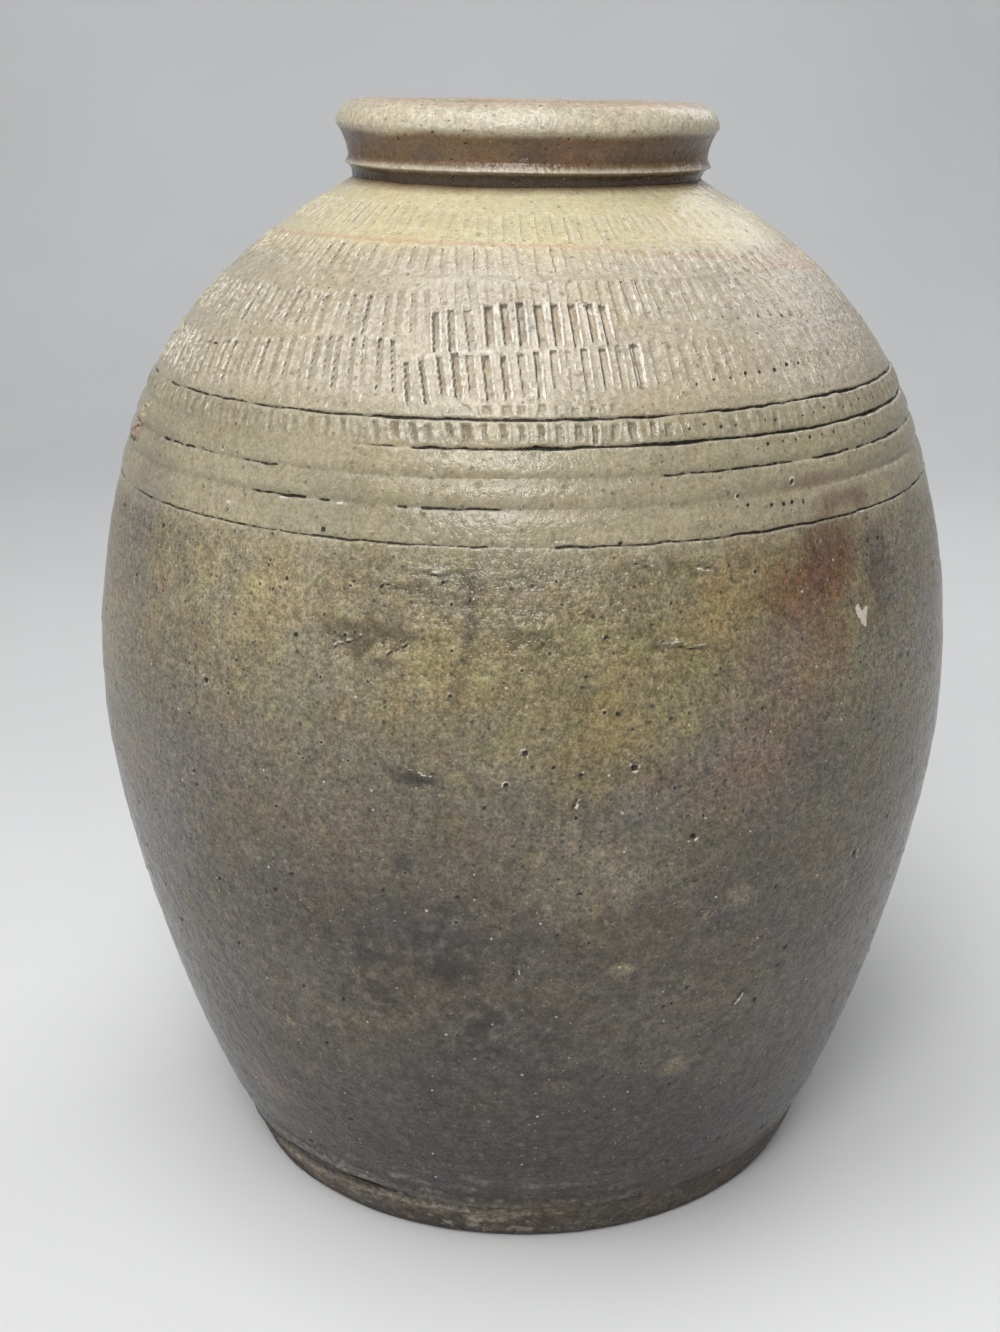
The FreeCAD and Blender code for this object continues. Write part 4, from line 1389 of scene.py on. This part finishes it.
def lathe_piece(name, section, shown, columns, paint):
    """A piece turned from a closed section. The first rows show, and get an uneven surface."""
    section = np.array(section)
    angle = ring_angles(columns)
    number = np.arange(len(section))[:, None]
    chords = np.hypot(*np.diff(section, axis=0).T)
    across = np.ones(columns)
    radius, height = (np.outer(values, across) for values in section.T)
    along = np.outer(np.append(0.0, np.cumsum(chords)), across)
    turn = np.broadcast_to(angle, radius.shape)
    relief = sum(size * lumps(turn, along, around, up, len(name) + i)
                 for i, (size, around, up) in enumerate(LATHE_LUMPS))
    ink = np.zeros_like(radius)
    rng = np.random.default_rng(len(name))
    for i in range(LATHE_PITS):
        middle = rng.uniform(-math.pi, math.pi)
        place = rng.uniform(0.0, along[shown - 1, 0])
        size = rng.uniform(0.45, 0.95)
        distance = np.hypot(wrap(turn - middle) * radius, along - place) / size
        relief -= 0.6 * size * smooth(distance, 1.2, 0.2)
        ink = np.maximum(ink, edge_share(size * (0.7 - distance)) * (number < shown))
    relief *= between(number, 0, shown - 1, 3)
    ground, bare = paint(turn, radius, height, along)
    tangent = np.roll(section, -1, axis=0) - np.roll(section, 1, axis=0)
    run, rise = (tangent.T / np.hypot(*tangent.T))[..., None]
    corners = [0, *range(shown - 1, len(section))]
    mesh = turned_mesh(name, radius + relief * rise, height - relief * run, angle, corners, shown)
    add_marks(mesh, ground, ink=ink, bare=bare, coarse=np.full_like(radius, LATHE_COARSE))
    add_piece(name, mesh)


def coil_section():
    """Section of the coil in the inside corner: its hollow face, then the faces on wall and slab."""
    heights = np.linspace(SLAB_Z, SLAB_Z + COIL_SIZE, 6)
    inner_radius, inner_height = inner_point(np.linspace(0.0, NECK_Z, OUTLINE_SAMPLES))
    wall = np.column_stack([np.interp(heights, inner_height, inner_radius), heights])
    toe = (wall[0, 0] - COIL_SIZE, SLAB_Z)
    face = quarter_round(toe, wall[0], wall[-1], 14)[::-1]
    return [*face, *bow(toe, wall[0], 0.0, 3)[1:], *wall[:-1]], len(face)


def coil_paint(turn, radius, height, along):
    """Plain bare clay."""
    return np.broadcast_to(INSIDE_CLAY, turn.shape + (3,)), np.ones(turn.shape)


LIP = (LIP_RADIUS, NECK_Z + LIP_RISE)
THROAT_TOP = (THROAT_RADIUS, RIM_Z - RIM_INNER_DEPTH)


def collar_section():
    """Section of the neck collar: throat, bead and lip, then the hidden joint."""
    neck = (outline_at(NECK_Z)[0], NECK_Z)
    end = np.array(inner_point(NECK_Z))
    bead = (BEAD_RADIUS, NECK_Z + BEAD_RISE)
    throat_foot = (THROAT_RADIUS, end[1] + THROAT_ROUND)
    throat = [*bow(THROAT_TOP, throat_foot, 0.0, 10),
              *quarter_round(throat_foot, (THROAT_RADIUS, end[1]), end, 8)]
    hollow = (-2 * BEAD_HOLLOW, 2 * BEAD_HOLLOW)
    outside = [*bow(neck, bead, hollow, 14), *bow(bead, LIP, 0.0, 8), LIP]
    joint = [(COLLAR_RADIUS, LIP[1]), (COLLAR_RADIUS, THROAT_TOP[1])]
    return throat + outside + joint, len(throat) + len(outside)


def collar_paint(turn, radius, height, along):
    """Painted shadow, dark brown, under the bead, pale on its edge, brown above it and dull clay in the
    throat.
    """
    bead = bell(height - NECK_Z - BEAD_RISE - 0.4, 1.3) * smooth(radius, 71.5, 73)
    under = smooth(height, NECK_Z + BEAD_RISE, NECK_Z + 0.6 * BEAD_RISE)
    inside = smooth(radius, 64, 58.5)
    ground = blend(NECK_BROWN, RIM_PALE, 0.85 * bead)
    # Painted shadow under the bead
    ground = blend(ground, PAINTED_BEAD_SHADOW, 0.88 * under)
    return blend(ground, INSIDE_CLAY, inside), inside


def rim_section():
    """Section of the rolled rim from the lip: flank, outer round, inner round, then the hidden joint."""
    bulge = (RIM_RADIUS, RIM_Z - RIM_OUTER_DEPTH)
    crest = (CREST_RADIUS, RIM_Z)
    shown = [*bow(LIP, bulge, (-2 * FLANK_HOLLOW, 0.0), 16),
             *quarter_round(bulge, (RIM_RADIUS, RIM_Z), crest, 22)[:-1],
             *quarter_round(crest, (THROAT_RADIUS, RIM_Z), THROAT_TOP, 18)]
    joint = [(COLLAR_RADIUS, THROAT_TOP[1]), (COLLAR_RADIUS, LIP[1])]
    return shown + joint, len(shown)


def rim_paint(turn, radius, height, along):
    """Pale on top, brown on the flank below the edge, a trace of pink at the crest."""
    ragged = 1.2 * lumps(turn, along, 40, 30, 91) + 0.15 * lumps(turn, along, 4, 4, 92)
    top = smooth(height + ragged, RIM_Z - 13, RIM_Z - 9.5)
    red = smooth(lumps(turn, along, 55, 20, 94), -0.1, 0.6)
    dark = smooth(lumps(turn, along, 40, 20, 93), 0.0, 0.8)
    inside = smooth(radius, 65, 59)
    ground = blend(NECK_BROWN, RIM_PALE, top)
    ground = blend(ground, RUST, 0.6 * red * (1 - top))
    ground = blend(ground, UMBER, 0.6 * dark * (1 - top))
    ground = blend(ground, SALMON, 0.35 * smooth(height, RIM_Z - 2.4, RIM_Z - 0.6))
    return blend(ground, INSIDE_CLAY, 0.7 * inside), 0.6 * inside


# Kiln scars: angle, height, half width, half height, stand-off
SCARS = (
    (-68.5, 333.0, 3.2, 4.6, 2.6),
    (-70.0, 325.0, 3.4, 4.0, 2.9),
)
SCAR_SINK = 1.0
SCAR_RINGS = 18
SCAR_COLUMNS = 48
SCAR_WAVES = 4


def scar_points(rng, angle, height, half_width, half_height, stand_off):
    """Points of one lump: the middle of its top, its rings from there outwards, and the middle below."""
    turn = math.radians(angle)
    radius, run, rise = outline_at(height)
    out = np.array((math.sin(turn), -math.cos(turn), 0.0))
    side = np.array((math.cos(turn), math.sin(turn), 0.0))
    axis = np.array((0.0, 0.0, 1.0))
    normal = out * rise - axis * run
    up = out * run + axis * rise
    centre = out * radius + axis * height
    waves = [(rng.integers(2, 6), rng.uniform(0, TURN), rng.uniform(0.04, 0.12)) for i in range(SCAR_WAVES)]
    share = (np.arange(1, SCAR_RINGS + 1) / SCAR_RINGS)[:, None, None]
    place = (np.arange(SCAR_COLUMNS) / SCAR_COLUMNS * TURN)[:, None]
    wave = 1 + sum(size * np.sin(turns * place + phase + 3 * share) for turns, phase, size in waves)
    lift = np.cos(share * math.pi / 2) * (1 + (wave - 1) * share)
    flat = np.sin(share * math.pi / 2) ** 0.8 * wave
    spots = centre + side * half_width * flat * np.cos(place) + up * half_height * flat * np.sin(place)
    spots = spots + normal * ((stand_off + SCAR_SINK) * lift - SCAR_SINK)
    return [centre + normal * stand_off, *spots.reshape(-1, 3), centre - normal * SCAR_SINK]


def build_kiln_scars():
    """Two rough lumps of kiln clay stuck to the shoulder, the lower one with painted shadow at its foot."""
    points = []
    faces = []
    rng = np.random.default_rng(111)
    for scar in SCARS:
        start = len(points)
        points += scar_points(rng, *scar)
        rim = len(points) - 1 - SCAR_COLUMNS
        for column in range(SCAR_COLUMNS):
            following = (column + 1) % SCAR_COLUMNS
            faces.append((start, start + 1 + column, start + 1 + following))
            for low in range(start + 1, rim, SCAR_COLUMNS):
                high = low + SCAR_COLUMNS
                faces.append((low + column, high + column, high + following, low + following))
            faces.append((rim + column, len(points) - 1, rim + following))
    mesh = new_mesh("kiln_scars", points, faces)
    level = np.array(points)[:, 2]
    ground = blend(TAN, SCAR_PINK, smooth(level, 323, 327))
    ground = blend(ground, GREY_OLIVE, 0.8 * smooth(level, 329, 333))
    # Painted shadow at the foot of the lower lump
    hollow = 0.85 * smooth(level, 324.5, 321.5)
    add_marks(mesh, ground, hollow=hollow, bare=np.ones_like(level), coarse=np.ones_like(level))
    add_piece("kiln_scars", mesh)


def build_jar():
    """All the pieces, from the ground up."""
    upper, lower = make_skins()
    build_base_slab()
    build_foot_band(lower)
    lathe_piece("base_corner_coil", *coil_section(), COIL_COLUMNS, coil_paint)
    floor_height = SLAB_Z - outline_at(SLAB_Z)[1] * WALL_THICKNESS[0]
    wall_piece(lower, "lower_wall", floor_height, lap_end(LOWER_WALL_Z), [(SLAB_RADIUS, SLAB_Z)])
    wall_piece(lower, "belly_lower", lap_end(LOWER_WALL_Z), lap_end(BELLY_Z))
    wall_piece(lower, "belly_upper", lap_end(BELLY_Z), lap_end(BELLY_UPPER_Z))
    wall_piece(upper, "shoulder_lower", lap_end(BELLY_UPPER_Z), lap_end(SHOULDER_Z))
    wall_piece(upper, "shoulder_upper", lap_end(SHOULDER_Z), lap_end(CAP_Z))
    wall_piece(upper, "shoulder_cap", lap_end(CAP_Z), NECK_Z)
    lathe_piece("neck_collar", *collar_section(), RIM_COLUMNS, collar_paint)
    lathe_piece("rim_roll", *rim_section(), RIM_COLUMNS, rim_paint)
    build_kiln_scars()


# Floor and backdrop, one sheet of pale paper
SWEEP_HALF_WIDTH = 3000.0
SWEEP_FRONT = -3000.0
SWEEP_BACK = 1400.0
SWEEP_ROUND = 700.0
SWEEP_TOP = 3000.0
FLOOR_GAP = 0.2
PAPER_ROUGHNESS = 0.9


def studio_material():
    """Pale matt paper for the floor and backdrop."""
    sheet = Sheet("studio_paper")
    shade = sheet.spread(sheet.noise(3.0, 3.0), 0.3, 0.7, 0.80, 0.84)
    sheet.feed(sheet.shader["Base Color"], sheet.grey(shade))
    sheet.feed(sheet.shader["Roughness"], PAPER_ROUGHNESS)
    return sheet.material


def build_studio():
    """A pale floor that curves up into a backdrop."""
    bend = [(SWEEP_BACK + SWEEP_ROUND * math.sin(a), SWEEP_ROUND * (1 - math.cos(a)))
            for a in np.linspace(0.0, math.pi / 2, 16)]
    profile = [(SWEEP_FRONT, 0.0), *bend, (SWEEP_BACK + SWEEP_ROUND, SWEEP_TOP)]
    points = [(x, y, z - FLOOR_GAP) for y, z in profile for x in (-SWEEP_HALF_WIDTH, SWEEP_HALF_WIDTH)]
    faces = [(2 * i, 2 * i + 1, 2 * i + 3, 2 * i + 2) for i in range(len(profile) - 1)]
    mesh = new_mesh("studio_sweep", points, faces)
    mesh.materials.append(studio_material())
    sweep = bpy.data.objects.new("studio_sweep", mesh)
    bpy.context.scene.collection.objects.link(sweep)


# Camera: place in metres, tilt and lens of the photographed view, and the photo's shift and height in pixels
CAMERA_PLACE = (0.0, -0.7714, 0.460)
CAMERA_PITCH = math.radians(90 - 17.97)
CAMERA_LENS = 49.31
CAMERA_SENSOR = 36.0
PHOTO_SHIFT = -22.5
PHOTO_HEIGHT = 1332


def build_camera():
    """The camera of the photographed view."""
    data = bpy.data.cameras.new("photo_camera")
    data.sensor_fit = "VERTICAL"
    data.sensor_height = CAMERA_SENSOR
    data.lens = CAMERA_LENS
    data.shift_x = PHOTO_SHIFT / PHOTO_HEIGHT
    camera = bpy.data.objects.new("photo_camera", data)
    camera.location = CAMERA_PLACE
    camera.rotation_euler = (CAMERA_PITCH, 0.0, 0.0)
    bpy.context.scene.collection.objects.link(camera)
    bpy.context.scene.camera = camera


# Square soft lamps turned towards the jar's middle, in metres: name, place, size, energy
JAR_MIDDLE = (0.0, 0.0, 0.25)
LAMPS = (
    ("top_lamp", (-0.3, -0.5, 1.95), 1.2, 18.0),
    ("front_lamp", (-0.2, -1.5, 1.4), 0.7, 16.5),
    ("side_lamp", (-1.8, -0.9, 0.9), 1.4, 5.0),
    ("back_lamp", (0.9, 1.1, 1.3), 1.0, 5.0),
)
SKY_COLOUR = (0.93, 0.96, 1.0, 1.0)
SKY_STRENGTH = 0.215


def build_light():
    """The lamps, and an even pale sky."""
    for name, place, size, energy in LAMPS:
        data = bpy.data.lights.new(name, "AREA")
        data.size = size
        data.energy = energy
        lamp = bpy.data.objects.new(name, data)
        lamp.location = place
        x, y, z = np.array(JAR_MIDDLE) - np.array(place)
        lamp.rotation_euler = (math.atan2(math.hypot(x, y), -z), 0.0, math.atan2(-x, y))
        bpy.context.scene.collection.objects.link(lamp)
    world = bpy.data.worlds.new("studio_world")
    world.use_nodes = True
    background = world.node_tree.nodes["Background"]
    background.inputs["Color"].default_value = SKY_COLOUR
    background.inputs["Strength"].default_value = SKY_STRENGTH
    bpy.context.scene.world = world


build_camera()
build_studio()
build_light()
build_jar()
bpy.context.scene.view_settings.view_transform = "Standard"
